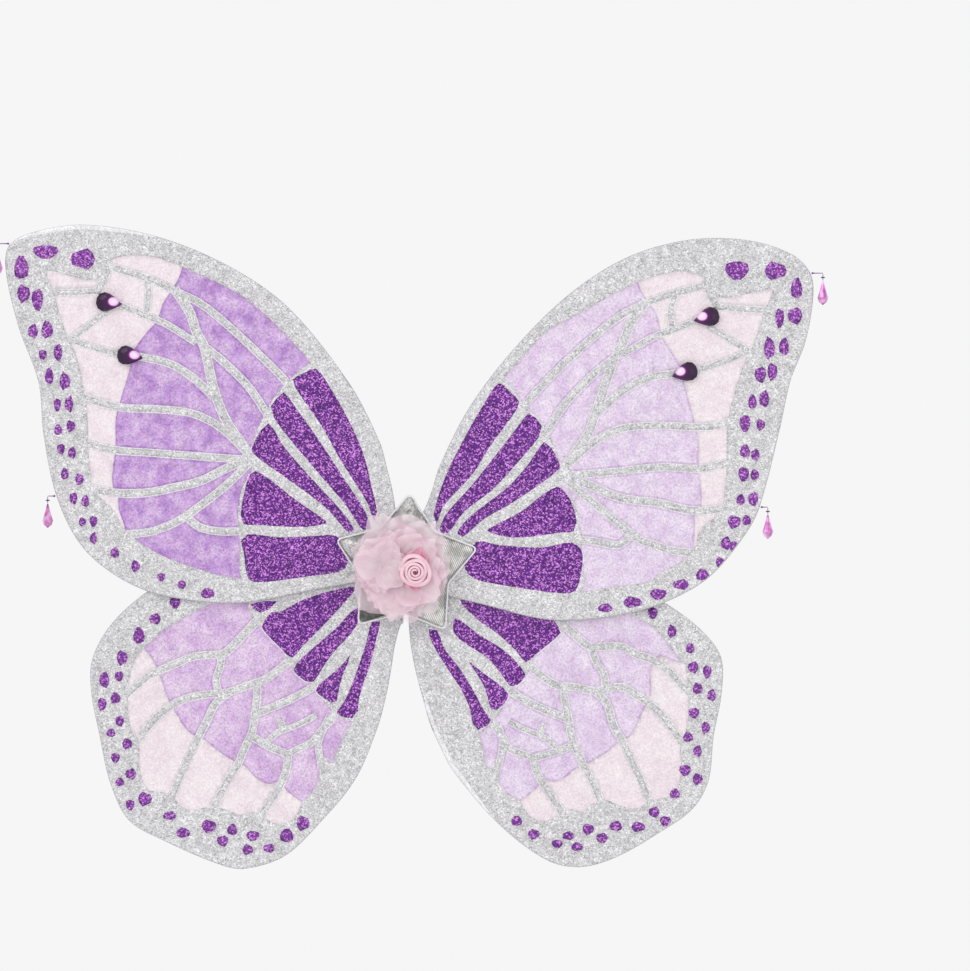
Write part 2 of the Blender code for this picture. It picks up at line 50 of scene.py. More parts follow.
# ---------------------------------------------------------------- sizes
UPPER_Y, LOWER_Y = -0.010, -0.006     # the middle of each pair of panels
RIM = 1.7                             # mm from a panel's edge to the middle of its wire
RIM_HALF = 1.42                       # mm, half the thickness over the wire
CLOTH_HALF = 0.42                     # mm, half the thickness away from the wire
GRID = 4.0                            # mm between a panel's inner points
STEP = 2.6                            # mm between points along a printed line
HEM = 0.85                            # mm between the print and the edge
WIDE_HEMS = {                         # where the print stops short: middle, reach and extra width
    "upper_left": ((222, 228), 42, 2.6),
    "lower_right": ((26, -132), 46, 3.0),
}
VEIN_EDGE = 0.75                      # mm of bare cloth beside a printed vein
CELL_EDGE = 0.9                       # mm of bare cloth round a purple cell
RELIEF = {"rim": 0.0, "bare": 0.0, "pink": 0.05, "lilac": 0.10, "lilac_deep": 0.10,
          "purple": 0.20, "silver": 0.24, "dot": 0.34}
POOL = 1.3                            # mm of deeper tint along a lilac cell's edge
PRINTS = list(RELIEF)

STAR_CENTRE = (-1.6, -4.5)
STAR_TIP, STAR_NOTCH, STAR_TOP = 50.5, 31.0, 86.6
STAR_BACK_Y, STAR_EDGE_Y, STAR_CROWN = -12.0, -12.8, 8.2
FLOWER_CENTRE = (-5.1, -7.5)
ROSE_CENTRE, ROSE_RADIUS = (5.4, -7.5), 11.0
PLEATS_FROM_X = 0.011                 # m, where the star's pleated arms begin

PAD_HALF_X, PAD_HALF_Z, PAD_CORNER, PAD_SEAM_Y = 12.5, 19.5, 4.0, -2.0
BINDING_HALF_X, BINDING_HALF_Y, BINDING_HALF_Z, BINDING_Y = 12.2, 3.7, 34.0, -8.0
STRAP_X, STRAP_Y, STRAP_HEADING = 8, 6.5, math.radians(50)
STRAP_HALF_WIDTH, STRAP_HALF_THICK = 5, 0.56

# outlines and print of the wings, in mm: out from the middle, and up
OUTLINES = {
    "upper_left": [(6, 24), (8, 33), (10.5, 48), (14, 62), (19, 80), (39.4, 119.7), (80.9, 171.4),
                   (120.4, 199.2), (169.3, 219.6), (217.6, 227.8), (250, 224), (270, 215),
                   (273.4, 199.2), (265, 160), (251, 121), (247.5, 85), (238.7, 43.5), (222, 10),
                   (195.8, -12.2), (165, -24.5), (114.2, -29.2), (60.5, -19.7), (24, -13), (6, -8)],
    "upper_right": [(6, 24), (11.5, 35), (16.5, 48), (21.5, 64), (41.5, 103.4), (70.7, 142.1),
                    (108.1, 179.5), (148.2, 205.4), (190.4, 217.6), (230, 217.5), (260.4, 208.1),
                    (273.5, 195), (275.3, 178), (270, 148), (260, 122), (252.5, 88), (238.9, 36),
                    (229, 17), (206, -10.5), (178.2, -27.2), (144.2, -37.4), (97.2, -40.8),
                    (50, -30), (20, -22), (6, -14)],
    "lower_left": [(6, 2), (60, 10), (115, 6), (155, -8), (181, -24), (203, -45), (215, -68),
                   (215.5, -90), (210, -119), (202.5, -152), (190, -177), (166, -191), (126, -208),
                   (110, -210), (84, -201.5), (60, -179), (36, -149.5), (21, -115), (14.3, -90),
                   (10.9, -71), (8.2, -54), (3.4, -38), (3, -20)],
    "lower_right": [(6, 0), (60, 4), (115, -3), (150, -15), (178, -31), (200, -48), (213, -66),
                    (213.5, -90), (208, -120), (204.5, -150), (194, -169), (172, -185), (140, -203),
                    (116, -209), (94, -204), (62, -180), (31, -144), (22.4, -128), (15, -111.5),
                    (9.5, -92), (4.8, -74), (1.4, -54), (0.5, -37), (2, -20)],
}

# the left wing's print: the inner edge of the silver border, the lilac area, the purple cells,
# and the veins as (width, points)
PRINT = {
    "upper": {
        "inner": [(201.5, 203.5), (194, 206.5), (175.5, 206.5), (150.5, 198), (113.5, 180), (93, 163),
                  (76, 145.5), (62.5, 130), (51.5, 115), (40, 94.5), (30.5, 73), (25, 51.5),
                  (21, 32.5), (22, 10), (35.5, -7), (47, -9), (75, -12), (99.5, -15), (121.5, -11.5),
                  (137.5, -7.5), (164.5, 2), (183.5, 13), (194, 23), (197, 29), (202, 36),
                  (214, 48.5), (215.5, 58.5), (217, 75.5), (217.5, 93), (219, 109.5), (223, 131),
                  (228.5, 147.5), (234, 159), (240.5, 182), (245, 196), (234, 194.5), (225, 192),
                  (216, 190.5), (209.5, 192), (204.5, 198)],
        "root": [(62, 134), (80, 123), (93.5, 106), (106, 78), (106, 61), (113, 48), (115.5, 28),
                 (114, 14), (110, -15), (12, -24), (5, 50), (30, 100)],
        "lilac": [(149.5, 206), (155.5, 192), (160.5, 183.5), (166, 175), (170.5, 163), (180, 151.5),
                  (186.5, 141.5), (189.5, 128), (196, 106), (198.5, 95), (198.5, 78), (200.5, 61),
                  (200.5, 50.5), (197, 43), (196.5, 34.5), (193, 25), (190.5, 13.5), (175.5, -7),
                  (107.5, -27), (12, -20.5), (5.5, 54.5), (60, 149.5), (128, 206)],
        "purple": [
            [(78, 122.5), (70.5, 127), (62.5, 130), (51.5, 115), (40, 94.5), (30.5, 73), (25, 51.5),
             (21, 32.5), (23, 26.5), (27, 38), (46, 68.5), (58.5, 91), (73, 112)],
            [(84.5, 114), (75.5, 102.5), (62.5, 84.5), (45, 58), (28.5, 32), (25, 21), (30.5, 20.5),
             (41.5, 36.5), (58, 56), (79.5, 81.5), (91, 97), (93, 104.5), (89, 110)],
            [(94.5, 93), (84.5, 77.5), (70, 60.5), (44, 32), (36.5, 20.5), (40, 18.5), (53.5, 33.5),
             (67.5, 45), (90, 61), (105.5, 73), (106, 76), (99.5, 88.5)],
            [(103.5, 60.5), (92, 53.5), (77, 41.5), (56, 27), (55, 25), (70.5, 22.5), (103.5, 24),
             (111.5, 24.5), (113.5, 30.5), (111, 46), (107.5, 58)],
            [(109, 17.5), (87.5, 15.5), (60.5, 16.5), (48.5, 16.5), (40, 1.5), (42, -5), (47, -8),
             (75, -12), (99.5, -15), (108, -13), (111.5, 5.5), (113.5, 13)],
        ],
        "veins": [
            (3.9, [(206.5, 200.5), (175.5, 191), (158.5, 183), (142, 175), (124, 161), (93, 132),
                   (79.5, 117), (67.5, 97), (53, 77), (41, 56.5), (24, 28)]),
            (3.4, [(177.5, 193), (176, 180), (177.5, 169)]),
            (3.4, [(197, 174), (179, 166.5), (164.5, 160.5), (143.5, 147.5)]),
            (5.2, [(159, 185), (148, 168), (143.5, 154.5), (138.5, 145.5), (132, 117), (124, 96),
                   (111.5, 77), (106, 68)]),
            (4.1, [(140.5, 147), (126, 135.5), (108, 117.5), (94, 97), (81.5, 81), (50.5, 45),
                   (28, 17.5)]),
            (4.1, [(183.5, 138.5), (162, 133.5), (146, 124), (132, 111)]),
            (3.4, [(232, 151), (212, 144), (193, 139.5)]),
            (4.1, [(223, 112), (209.5, 107), (192.5, 103.5), (170, 102.5), (146, 99.5), (128.5, 91),
                   (115, 79), (105, 68)]),
            (4.1, [(222, 80), (200.5, 75), (175.5, 73), (142, 70.5), (113.5, 68.5), (104, 68)]),
            (4.1, [(113, 71), (102, 64.5), (82.5, 49.5), (61, 34), (38, 14.5)]),
            (4.6, [(219, 49.5), (197, 45.5), (176, 46), (160.5, 49), (141.5, 53.5), (126, 61),
                   (108, 69.5)]),
            (4.1, [(198, 17), (176, 19), (166.5, 22), (155.5, 27), (137.5, 39.5), (121.5, 52.5),
                   (106, 68)]),
            (4.1, [(153, 32), (141.5, 22.5), (126.5, 19.5), (107.5, 20), (80, 19.5), (36, 19)]),
            (3.4, [(247, 181.5), (226.5, 182), (209, 183)]),
            (3.4, [(232, 148), (216, 160), (204, 170)]),
            (4.1, [(211.5, 181.5), (206.5, 190.5), (202, 203)]),
        ],
    },
    "lower": {
        "inner": [(107.5, -17.5), (99.5, -13.5), (73.5, -9.5), (49.5, -8), (28.5, -20.5), (19, -35.5),
                  (19.5, -43), (22.5, -55), (26.5, -72), (33.5, -96.5), (34, -104), (41.5, -115.5),
                  (46, -124.5), (52.5, -138), (57, -133), (60, -138.5), (60.5, -149.5),
                  (65.5, -158), (71.5, -164.5), (77.5, -175.5), (87, -179.5), (95, -177),
                  (101.5, -172.5), (107.5, -171.5), (114, -173.5), (123, -170), (134.5, -167.5),
                  (145, -170), (153.5, -168.5), (158.5, -162.5), (164.5, -158.5), (176, -156.5),
                  (180, -151), (183, -138.5), (183, -126), (187.5, -117), (190.5, -103.5),
                  (190.5, -88.5), (188.5, -76), (184.5, -66), (178, -58.5), (168.5, -49.5),
                  (153.5, -40), (138, -31.5), (124.5, -25)],
        "root": [(109, -29), (99.5, -46), (86, -61), (78, -76), (64, -86), (57, -96), (50, -104),
                 (38, -110), (5, -95), (5, 0), (90, -10)],
        "lilac": [(186.5, -57), (179, -61), (172.5, -70), (168.5, -80), (163, -95), (158, -104),
                  (152.5, -113), (147, -118.5), (139.5, -121.5), (131, -128.5), (120.5, -135.5),
                  (110, -141), (103.5, -148), (95, -152.5), (87.5, -151), (82.5, -157),
                  (71.5, -165), (64, -170), (43, -149.5), (5.5, -95), (5.5, 0), (121, 0),
                  (182, -34)],
        "purple": [
            [(107, -30), (89, -28), (94.5, -33.5), (100.5, -36)],
            [(93, -35.5), (87.5, -35.5), (75.5, -29), (63, -24), (50.5, -20.5), (35.5, -18.5),
             (46, -32), (59, -46), (72, -59), (79, -66.5), (85.5, -61), (99.5, -46), (98, -42)],
            [(34, -32), (34.5, -43.5), (41, -52.5), (50.5, -62.5), (58.5, -74), (64.5, -83),
             (69.5, -82.5), (78, -75), (75.5, -70), (63, -58.5), (47.5, -45), (39.5, -36)],
            [(39, -64), (41, -70.5), (45, -80), (47, -88.5), (48.5, -96), (52.5, -97), (57, -94),
             (63, -88.5), (56, -81), (47.5, -74), (41.5, -67.5)],
            [(24.5, -42), (19, -41.5), (21, -51.5), (26, -72), (30, -83), (33.5, -95), (34, -102.5),
             (38, -107.5), (46, -106), (48.5, -103.5), (43.5, -96.5), (37.5, -83), (32, -67.5),
             (28, -55)],
        ],
        "veins": [
            (4.4, [(28.5, -10), (53, -22), (73.5, -28.5), (99.5, -39), (110, -49), (121, -60.5),
                   (127, -65)]),
            (4.1, [(124, -64), (145, -65.5), (155.5, -69.5), (168.5, -75), (177.5, -79.5),
                   (192, -92)]),
            (3.8, [(126.5, -64.5), (128, -73.5), (130.5, -81.5), (128.5, -91)]),
            (4.1, [(28.5, -19), (34.5, -25), (46, -36), (58.5, -47.5), (83, -70.5), (97, -81),
                   (109.5, -85.5), (122.5, -90), (141.5, -92), (153, -95), (162.5, -100),
                   (171.5, -107.5), (179.5, -117), (187, -127)]),
            (4.1, [(120.5, -89), (131, -98), (136.5, -109), (143, -121.5), (148, -132.5),
                   (153.5, -144), (161, -162)]),
            (4.1, [(103.5, -82), (102.5, -90), (104, -103.5), (106, -117), (112, -130),
                   (115.5, -138.5), (122.5, -149.5), (133, -170)]),
            (4.1, [(28.5, -34), (38, -54.5), (52.5, -70.5), (64, -85.5), (71.5, -90.5), (82.5, -96),
                   (104.5, -105)]),
            (3.4, [(28.5, -35.5), (34.5, -61), (41.5, -83), (47, -98), (51, -107.5), (60, -117),
                   (66, -124.5), (73.5, -128), (82.5, -132.5)]),
            (4.1, [(107, -119.5), (99.5, -124), (94, -127), (81.5, -132.5)]),
            (4.1, [(81.5, -132), (83, -144), (89, -157), (101, -175)]),
            (2.8, [(99, -127), (89, -117.5), (79.5, -114), (69.5, -109.5), (62, -105.5)]),
            (3.2, [(87, -107.5), (84.5, -117)]),
            (3.4, [(53, -105.5), (58.5, -117), (61, -126), (59, -140)]),
        ],
    },
}

# how the right wing's print sits against the mirrored left one: (left place, right place)
SHIFTS = {
    "upper": [((206.5, 200.5), (206, 187.5)), ((155, 181.5), (158.5, 173.5)),
              ((202.5, 175), (202.5, 164.5)), ((188.5, 138.5), (187.5, 127)),
              ((143.5, 154.5), (146, 147)), ((132, 117), (130, 107)), ((111.5, 77), (108, 65.5)),
              ((62.5, 130), (62, 120.5)), ((78, 122.5), (75.5, 107)), ((93, 104.5), (91, 91)),
              ((107.5, 69.5), (105.5, 59)), ((113, 30.5), (114, 26)), ((108, -13.5), (114, -21)),
              ((137.5, -7.5), (164, -14.5)), ((183.5, 13), (187, 0)), ((217.5, 79), (217, 66)),
              ((220.5, 111), (218.5, 94)), ((212, 48.5), (211.5, 34.5)), ((149.5, 28), (150.5, 15)),
              ((245, 196), (247.5, 183.5)), ((228.5, 147.5), (231, 140)),
              ((150.5, 198), (153.5, 187.5)), ((175.5, 206.5), (182, 196)),
              ((113.5, 180), (113.5, 166)), ((93, 163), (93, 154.5)), ((23, 26.5), (19.5, 24.5)),
              ((175.5, 46), (166, 39.5))],
    "lower": [((125, -64.5), (123, -60)), ((145, -65.5), (145, -58.5)), ((168.5, -75), (164.5, -66.5)),
              ((189, -90), (188.5, -83)), ((79, -67.5), (80, -70.5)), ((97, -81), (100.5, -85)),
              ((141.5, -92), (145, -85.5)), ((162.5, -100), (164.5, -98)), ((121, -90), (127, -89)),
              ((136.5, -109), (140, -113.5)), ((153.5, -144), (159, -151.5)),
              ((106, -117), (112, -123)), ((130.5, -165), (128.5, -160)), ((89, -157), (94, -155)),
              ((65.5, -83), (70.5, -85.5)), ((52.5, -97), (60.5, -102)), ((34, -105.5), (44, -114)),
              ((22.5, -41.5), (17.5, -47)), ((36, -18.5), (36, -27)), ((190.5, -95), (191, -100)),
              ((178, -58.5), (185, -68.5)), ((153.5, -40), (166.5, -45.5)),
              ((114, -173.5), (119, -171.5)), ((87, -179.5), (92, -177.5)),
              ((60.5, -138.5), (62, -143)), ((99.5, -39), (104, -43))],
}

# the purple dots in the border: across, up, width and height
DOTS = {
    "upper_left": [
        (246, 209.5, 17.5, 9.5), (220.5, 204.5, 17, 13.5), (262.5, 198.5, 10, 16.5), (261, 181, 9, 12),
        (251.5, 177, 8, 15), (254.5, 155.5, 7, 9.5), (245, 156.5, 8, 12), (248, 139.5, 5.5, 7.5),
        (237.5, 141, 6, 12), (243.5, 125, 6, 11.5), (233, 121.5, 7.5, 11.5), (238, 105.5, 5, 9),
        (230, 106, 6, 11), (237.5, 88.5, 5.5, 7.5), (229, 91, 6, 8), (235.5, 75.5, 5.5, 7.5),
        (228, 73, 5.5, 8), (233, 58.5, 5.5, 8), (223, 55, 6, 8), (227, 42, 5.5, 8), (219, 40, 5.5, 8),
        (221, 26, 5, 6), (213.5, 26.5, 5.5, 7.5), (213.5, 15, 5, 8), (199, 5, 6, 7.5), (185, -4, 6, 8),
        (167.5, -11.5, 5.5, 6), (153.5, -16.5, 6, 6), (136, -22.5, 9.5, 7)],
    "lower_left": [
        (158.5, -29, 7.5, 8), (172, -40, 8, 7.5), (183, -51.5, 8, 11.5), (194.5, -66.5, 7.5, 10),
        (196.5, -79, 6, 7), (206.5, -81.5, 7, 11), (199, -94, 7, 8), (208, -98, 6, 9),
        (196, -109.5, 6, 7.5), (202, -117.5, 6, 6), (191, -125, 7, 7.5), (199, -134.5, 6, 7),
        (188.5, -145.5, 7.5, 7.5), (196, -151, 6, 6), (179, -162.5, 9.5, 9.5), (189, -166.5, 6, 7.5),
        (162, -174, 9, 6), (153, -185.5, 9.5, 7), (135.5, -181, 10, 9), (126, -191, 8, 7.5),
        (119.5, -183.5, 7, 8), (109, -197, 7.5, 7), (105.5, -187.5, 9, 7), (94.5, -196, 8, 6),
        (82.5, -187.5, 9.5, 9.5), (71.5, -179, 9, 10)],
    "upper_right": [
        (223.5, 197, 16.5, 13), (249.5, 196.5, 15, 12), (264, 184.5, 8, 14.5), (263, 166, 10, 11.5),
        (252.5, 164.5, 6, 13.5), (245.5, 144, 7.5, 15), (255.5, 145, 7, 12), (239.5, 126, 8, 11),
        (247.5, 128, 7, 12), (234, 107.5, 6, 10), (242, 109.5, 7, 11.5), (229, 93, 7.5, 12),
        (239.5, 92, 6, 8), (229, 74, 7, 9), (236, 71.5, 6, 8), (228, 58.5, 7.5, 10),
        (235.5, 58, 6, 7.5), (226, 41, 6, 7.5), (234.5, 41.5, 7, 9.5), (221.5, 26, 9, 9),
        (230, 27, 6, 7), (216, 11.5, 7, 9), (221, 9.5, 6, 7), (212, -1.5, 6, 7.5), (200, -10, 9, 8),
        (185.5, -16.5, 11, 7), (170, -23, 11.5, 7.5), (152.5, -28.5, 13, 7.5), (134, -32.5, 10, 6)],
    "lower_right": [
        (166.5, -36, 7, 8), (179.5, -48.5, 6, 9), (192, -60, 6, 7.5), (194, -73, 7.5, 8),
        (203.5, -76, 6, 9), (197, -87.5, 7, 8), (206.5, -92, 6, 8), (194.5, -104, 7.5, 7.5),
        (202.5, -114, 6, 8), (190.5, -120.5, 7, 7), (197, -130, 6, 8), (188.5, -143, 8, 8),
        (197, -149, 7, 8), (181.5, -159, 7, 7), (167.5, -171.5, 7.5, 7.5), (175, -177.5, 7.5, 7),
        (156.5, -181.5, 9.5, 7), (141.5, -181, 9, 7), (132, -189, 8, 7), (122.5, -183, 8, 7.5),
        (115, -195, 8, 6), (109, -187.5, 8, 6), (101.5, -193, 7.5, 6), (85.5, -186.5, 8, 7),
        (74, -177.5, 7.5, 7)],
}
STRAP_ROUTE = [(0, 13), (4, 4), (14, -9), (32, -27), (51, -49), (64, -76), (66, -102), (55, -121),
               (37, -119), (23, -97), (12, -69), (5, -50), (0, -41)]


# ---------------------------------------------------------------- materials
class Surface:
    """A node material being put together."""

    def __init__(self, name, roughness=0.5, metallic=0.0, **sockets):
        self.material = bpy.data.materials.new(name)
        self.material.use_nodes = True
        self.tree = self.material.node_tree
        self.shader = self.tree.nodes["Principled BSDF"]
        self.set("Roughness", roughness)
        self.set("Metallic", metallic)
        for socket, value in sockets.items():
            self.set(socket.replace("_", " "), value)
        self.place = self.node("ShaderNodeTexCoord").outputs["Object"]

    def set(self, socket, value):
        self.shader.inputs[socket].default_value = value

    def node(self, kind, **inputs):
        node = self.tree.nodes.new(kind)
        for name, value in inputs.items():
            socket = node.inputs[name.replace("_", " ")]
            if isinstance(value, bpy.types.NodeSocket):
                self.tree.links.new(value, socket)
            else:
                socket.default_value = value
        return node

    def link(self, source, socket):
        self.tree.links.new(source, self.shader.inputs[socket])

    def noise(self, size, detail=2.0):
        node = self.node("ShaderNodeTexNoise", Vector=self.place, Scale=1 / size, Detail=detail)
        return node.outputs["Fac"]

    def flakes(self, size):
        return self.node("ShaderNodeTexVoronoi", Vector=self.place, Scale=1 / size).outputs["Color"]

    def ribs(self, pitch, turn, distortion=0.0):
        """Parallel bands that many metres apart, turned in the plane of the wings."""
        turned = self.node("ShaderNodeMapping", Vector=self.place, Rotation=(0, math.radians(turn), 0))
        node = self.node("ShaderNodeTexWave", Vector=turned.outputs[0], Scale=0.314 / pitch,
                         Distortion=distortion, Detail=1.0)
        return node.outputs["Fac"]

    def ramp(self, source, stops):
        """stops are (place, colour)."""
        node = self.tree.nodes.new("ShaderNodeValToRGB")
        self.tree.links.new(source, node.inputs["Fac"])
        elements = node.color_ramp.elements
        while len(elements) < len(stops):
            elements.new(0.5)
        for element, (at, colour) in zip(elements, stops):
            element.position = at
            element.color = colour if len(colour) == 4 else (*colour, 1)
        return node.outputs["Color"]

    def mix(self, factor, a, b, kind="MIX"):
        node = self.tree.nodes.new("ShaderNodeMix")
        node.data_type, node.blend_type = "RGBA", kind
        for socket, value in ((node.inputs[0], factor), (node.inputs[6], a), (node.inputs[7], b)):
            if isinstance(value, bpy.types.NodeSocket):
                self.tree.links.new(value, socket)
            elif socket.type == "RGBA":
                socket.default_value = value if len(value) == 4 else (*value, 1)
            else:
                socket.default_value = value
        return node.outputs[2]

    def bump(self, height, strength, distance):
        node = self.node("ShaderNodeBump", Height=height, Strength=strength, Distance=distance)
        self.link(node.outputs["Normal"], "Normal")


def rgb(r, g, b):
    """A display colour, 0 to 255, as a shader colour."""
    return tuple(((c / 255 + 0.055) / 1.055) ** 2.4 if c > 10 else c / 255 / 12.92 for c in (r, g, b))


def glitter(name, dark, base, light, flake=0.0007, shine=0.35):
    """Glitter in clear binder: flat flakes, each with its own tilt and a painted brightness: painted glints
    on some flakes, painted shade on others.
    """
    s = Surface(name, roughness=0.42, metallic=shine)
    pick = s.node("ShaderNodeSeparateColor", Color=s.flakes(flake)).outputs[0]
    # painted shade and painted glints: each flake drawn darker or lighter as if tilted to or from the light
    tone_with_painted_light = s.ramp(pick, [(0.0, dark), (0.3, base), (0.62, base), (0.95, light)])
    cloud = s.ramp(s.noise(0.0045, 4.0), [(0.35, (0.8, 0.8, 0.8)), (0.65, (1, 1, 1))])
    s.link(s.mix(1.0, tone_with_painted_light, cloud, "MULTIPLY"), "Base Color")
    s.bump(pick, 0.5, 0.0002)
    return s.material


def nylon(name, deep, base, pale, grain=0.5):
    """Sheer stretch nylon with a rolled-on tint: blotchy, with the knit showing and fine flecks painted
    brighter and darker as glints and shade.
    """
    s = Surface(name, roughness=0.6, Sheen_Weight=0.25)
    blotch = s.ramp(s.noise(0.010, 7.0), [(0.34, deep), (0.5, base), (0.68, pale)])
    speck = s.ramp(s.noise(0.0010, 3.0), [(0.36, (grain + 0.24,) * 3), (0.6, (1, 1, 1))])
    # painted glints and shade: fine flecks drawn lighter and darker than the cloth
    pick = s.node("ShaderNodeSeparateColor", Color=s.flakes(0.0010)).outputs[1]
    glint = s.ramp(pick, [(0.0, (grain + 0.22,) * 3), (0.45, (1, 1, 1)), (1.0, (1.12, 1.12, 1.12))])
    specks_and_glints = s.mix(1.0, speck, glint, "MULTIPLY")
    s.link(s.mix(1.0, blotch, specks_and_glints, "MULTIPLY"), "Base Color")
    s.bump(s.ribs(0.0005, 45), 0.25, 0.0001)
    return s.material


def plain(name, dark, light, roughness=0.5, metallic=0.0, grain=0.002, bump=0.15, **sockets):
    """A surface with a soft variation of colour and a fine bump."""
    s = Surface(name, roughness=roughness, metallic=metallic, **sockets)
    s.link(s.ramp(s.noise(grain, 4.0), [(0.3, dark), (0.7, light)]), "Base Color")
    s.bump(s.noise(grain / 4), bump, 0.0002)
    return s.material


def woven(name, dark, light, pitch, turn, roughness=0.6, metallic=0.0, **sockets):
    """Two crossing sets of yarns."""
    s = Surface(name, roughness=roughness, metallic=metallic, **sockets)
    fine_pattern = s.mix(0.5, s.ribs(pitch, turn), s.ribs(pitch, turn + 90), "MIX")
    s.link(s.ramp(fine_pattern, [(0.25, dark), (0.75, light)]), "Base Color")
    s.bump(fine_pattern, 0.4, pitch / 4)
    return s.material


def lame(name):
    """Silver lamé, finely pleated on the slant on the star's right-hand arms, with the light and shade of its
    pleats, crinkles and folds painted into its colour.
    """
    s = Surface(name, roughness=0.36, metallic=0.35)
    axes = s.node("ShaderNodeSeparateXYZ", Vector=s.place)
    right = s.node("ShaderNodeMath")
    right.operation = "GREATER_THAN"
    s.tree.links.new(axes.outputs["X"], right.inputs[0])
    right.inputs[1].default_value = PLEATS_FROM_X
    # painted light and shade of the crinkled metal cloth, put into the colour of the plain arms
    fine_pattern = s.ramp(s.noise(0.0016, 4.0), [(0.3, rgb(150, 150, 148)), (0.5, rgb(206, 206, 204)),
                                         (0.7, rgb(244, 244, 242))])
    pleat = s.ribs(0.0013, 25, 0.9)
    # painted shade in the pleats' troughs and painted highlights on their crests
    pleat_shading = s.ramp(pleat, [(0.1, rgb(188, 188, 184)), (0.5, rgb(228, 228, 224)),
                            (0.9, rgb(255, 255, 252))])
    # painted shade of the broad folds, in soft patches
    painted_fold_shade = s.ramp(s.noise(0.009, 2.0), [(0.4, rgb(196, 196, 194)), (0.58, (1, 1, 1))])
    tone_with_painted_light = s.mix(right.outputs[0], fine_pattern, pleat_shading)
    shade = s.mix(1.0, tone_with_painted_light, painted_fold_shade, "MULTIPLY")
    # the lower left arm is crumpled, and darkened towards its lower left with painted shade
    slope = s.node("ShaderNodeVectorMath")
    slope.operation = "DOT_PRODUCT"
    s.tree.links.new(s.place, slope.inputs[0])
    slope.inputs[1].default_value = (-18, 0, -18)
    corner = s.ramp(slope.outputs["Value"], [(0.58, (1, 1, 1)), (0.78, (0.26, 0.26, 0.25))])
    s.link(s.mix(1.0, shade, corner, "MULTIPLY"), "Base Color")
    s.bump(s.mix(right.outputs[0], s.noise(0.0022, 4.0), pleat), 0.4, 0.0006)
    return s.material


SURFACES = {
    "rim": plain("nylon_over_wire", rgb(158, 158, 163), rgb(196, 196, 200), 0.5, 0.1, 0.001, 0.1),
    "bare": nylon("bare_nylon", rgb(236, 234, 238), rgb(243, 242, 245), rgb(249, 248, 250), 0.6),
    "pink": nylon("pink_print", rgb(234, 220, 228), rgb(240, 228, 233), rgb(243, 234, 238), 0.69),
    "lilac": nylon("lilac_print", rgb(186, 138, 212), rgb(212, 172, 230), rgb(228, 200, 238), 0.5),
    "lilac_deep": nylon("pooled_lilac_print", rgb(176, 126, 206), rgb(200, 158, 222),
                        rgb(216, 182, 232), 0.48),
    "lilac_soft": nylon("soft_lilac_print", rgb(214, 176, 226), rgb(228, 198, 236),
                        rgb(236, 214, 240), 0.54),
    "lilac_deep_soft": nylon("pooled_soft_lilac_print", rgb(204, 162, 220), rgb(218, 184, 230),
                             rgb(228, 200, 236), 0.52),
    "lilac_pale": nylon("pale_lilac_print", rgb(224, 200, 232), rgb(234, 216, 240),
                        rgb(240, 226, 244), 0.6),
    "lilac_deep_pale": nylon("pooled_pale_lilac_print", rgb(214, 184, 228), rgb(226, 202, 234),
                             rgb(234, 214, 240), 0.58),
    # the dark and light colours of each glitter are its flakes' painted shade and painted glints
    "purple": glitter("purple_glitter", rgb(44, 0, 80), rgb(104, 22, 142), rgb(238, 158, 250),
                      0.0008, 0.2),
    "silver": glitter("silver_glitter", rgb(172, 172, 172), rgb(217, 215, 219), rgb(255, 255, 255),
                      0.0008, 0.1),
    "dot": glitter("purple_dot_glitter", rgb(74, 14, 104), rgb(132, 52, 162), rgb(228, 160, 240),
                   0.0009, 0.25),
    "back_bare": nylon("bare_nylon_behind", rgb(226, 224, 228), rgb(236, 235, 238),
                       rgb(243, 243, 244)),
    "back_pink": nylon("pink_behind", rgb(234, 220, 228), rgb(240, 229, 235), rgb(244, 238, 241)),
    "back_lilac": nylon("lilac_behind", rgb(206, 178, 222), rgb(218, 196, 232), rgb(228, 212, 238)),
    "back_purple": nylon("purple_behind", rgb(142, 104, 166), rgb(164, 128, 184), rgb(184, 152, 200)),
    "back_silver": nylon("silver_behind", rgb(196, 196, 200), rgb(210, 210, 213), rgb(222, 222, 225)),
    "wire": plain("steel_wire", rgb(150, 150, 152), rgb(190, 190, 192), 0.35, 0.9, 0.003, 0.05),
    "thread": woven("purple_thread", rgb(96, 44, 120), rgb(150, 90, 176), 0.0003, 20, 0.8),
    "seed": plain("dark_seed_bead", rgb(40, 14, 52), rgb(84, 30, 100), 0.15, 0.0, 0.0008, 0.02,
                  Coat_Weight=0.6),
    "lame": lame("silver_lame"),
    "lame_back": plain("silver_lame_behind", rgb(150, 150, 152), rgb(210, 210, 212), 0.45, 0.5, 0.002,
                       0.3),
    "piping": plain("pale_piping", rgb(222, 222, 224), rgb(250, 250, 250), 0.4, 0.1, 0.0015, 0.1),
    "binding": woven("lilac_binding_ribbon", rgb(176, 150, 196), rgb(214, 194, 228), 0.0007, 0, 0.4,
                     0.0, Sheen_Weight=0.3),
    "felt": plain("white_felt", rgb(214, 210, 216), rgb(240, 238, 240), 0.95, 0.0, 0.0012, 0.6,
                  Sheen_Weight=0.5),
    "elastic": woven("white_elastic", rgb(196, 196, 200), rgb(242, 242, 244), 0.0011, 45, 0.75),
    "stitch": woven("stitching", rgb(180, 160, 196), rgb(226, 214, 234), 0.0003, 30, 0.8),
}


def tulle_surface(name, deep, pale, alpha):
    s = Surface(name, roughness=0.7, Sheen_Weight=0.3, Alpha=alpha)
    s.link(s.ramp(s.noise(0.009, 2.0), [(0.3, deep), (0.7, pale)]), "Base Color")
    s.bump(s.mix(0.5, s.ribs(0.0008, 30), s.ribs(0.0008, 120)), 0.3, 0.0001)
    return s.material


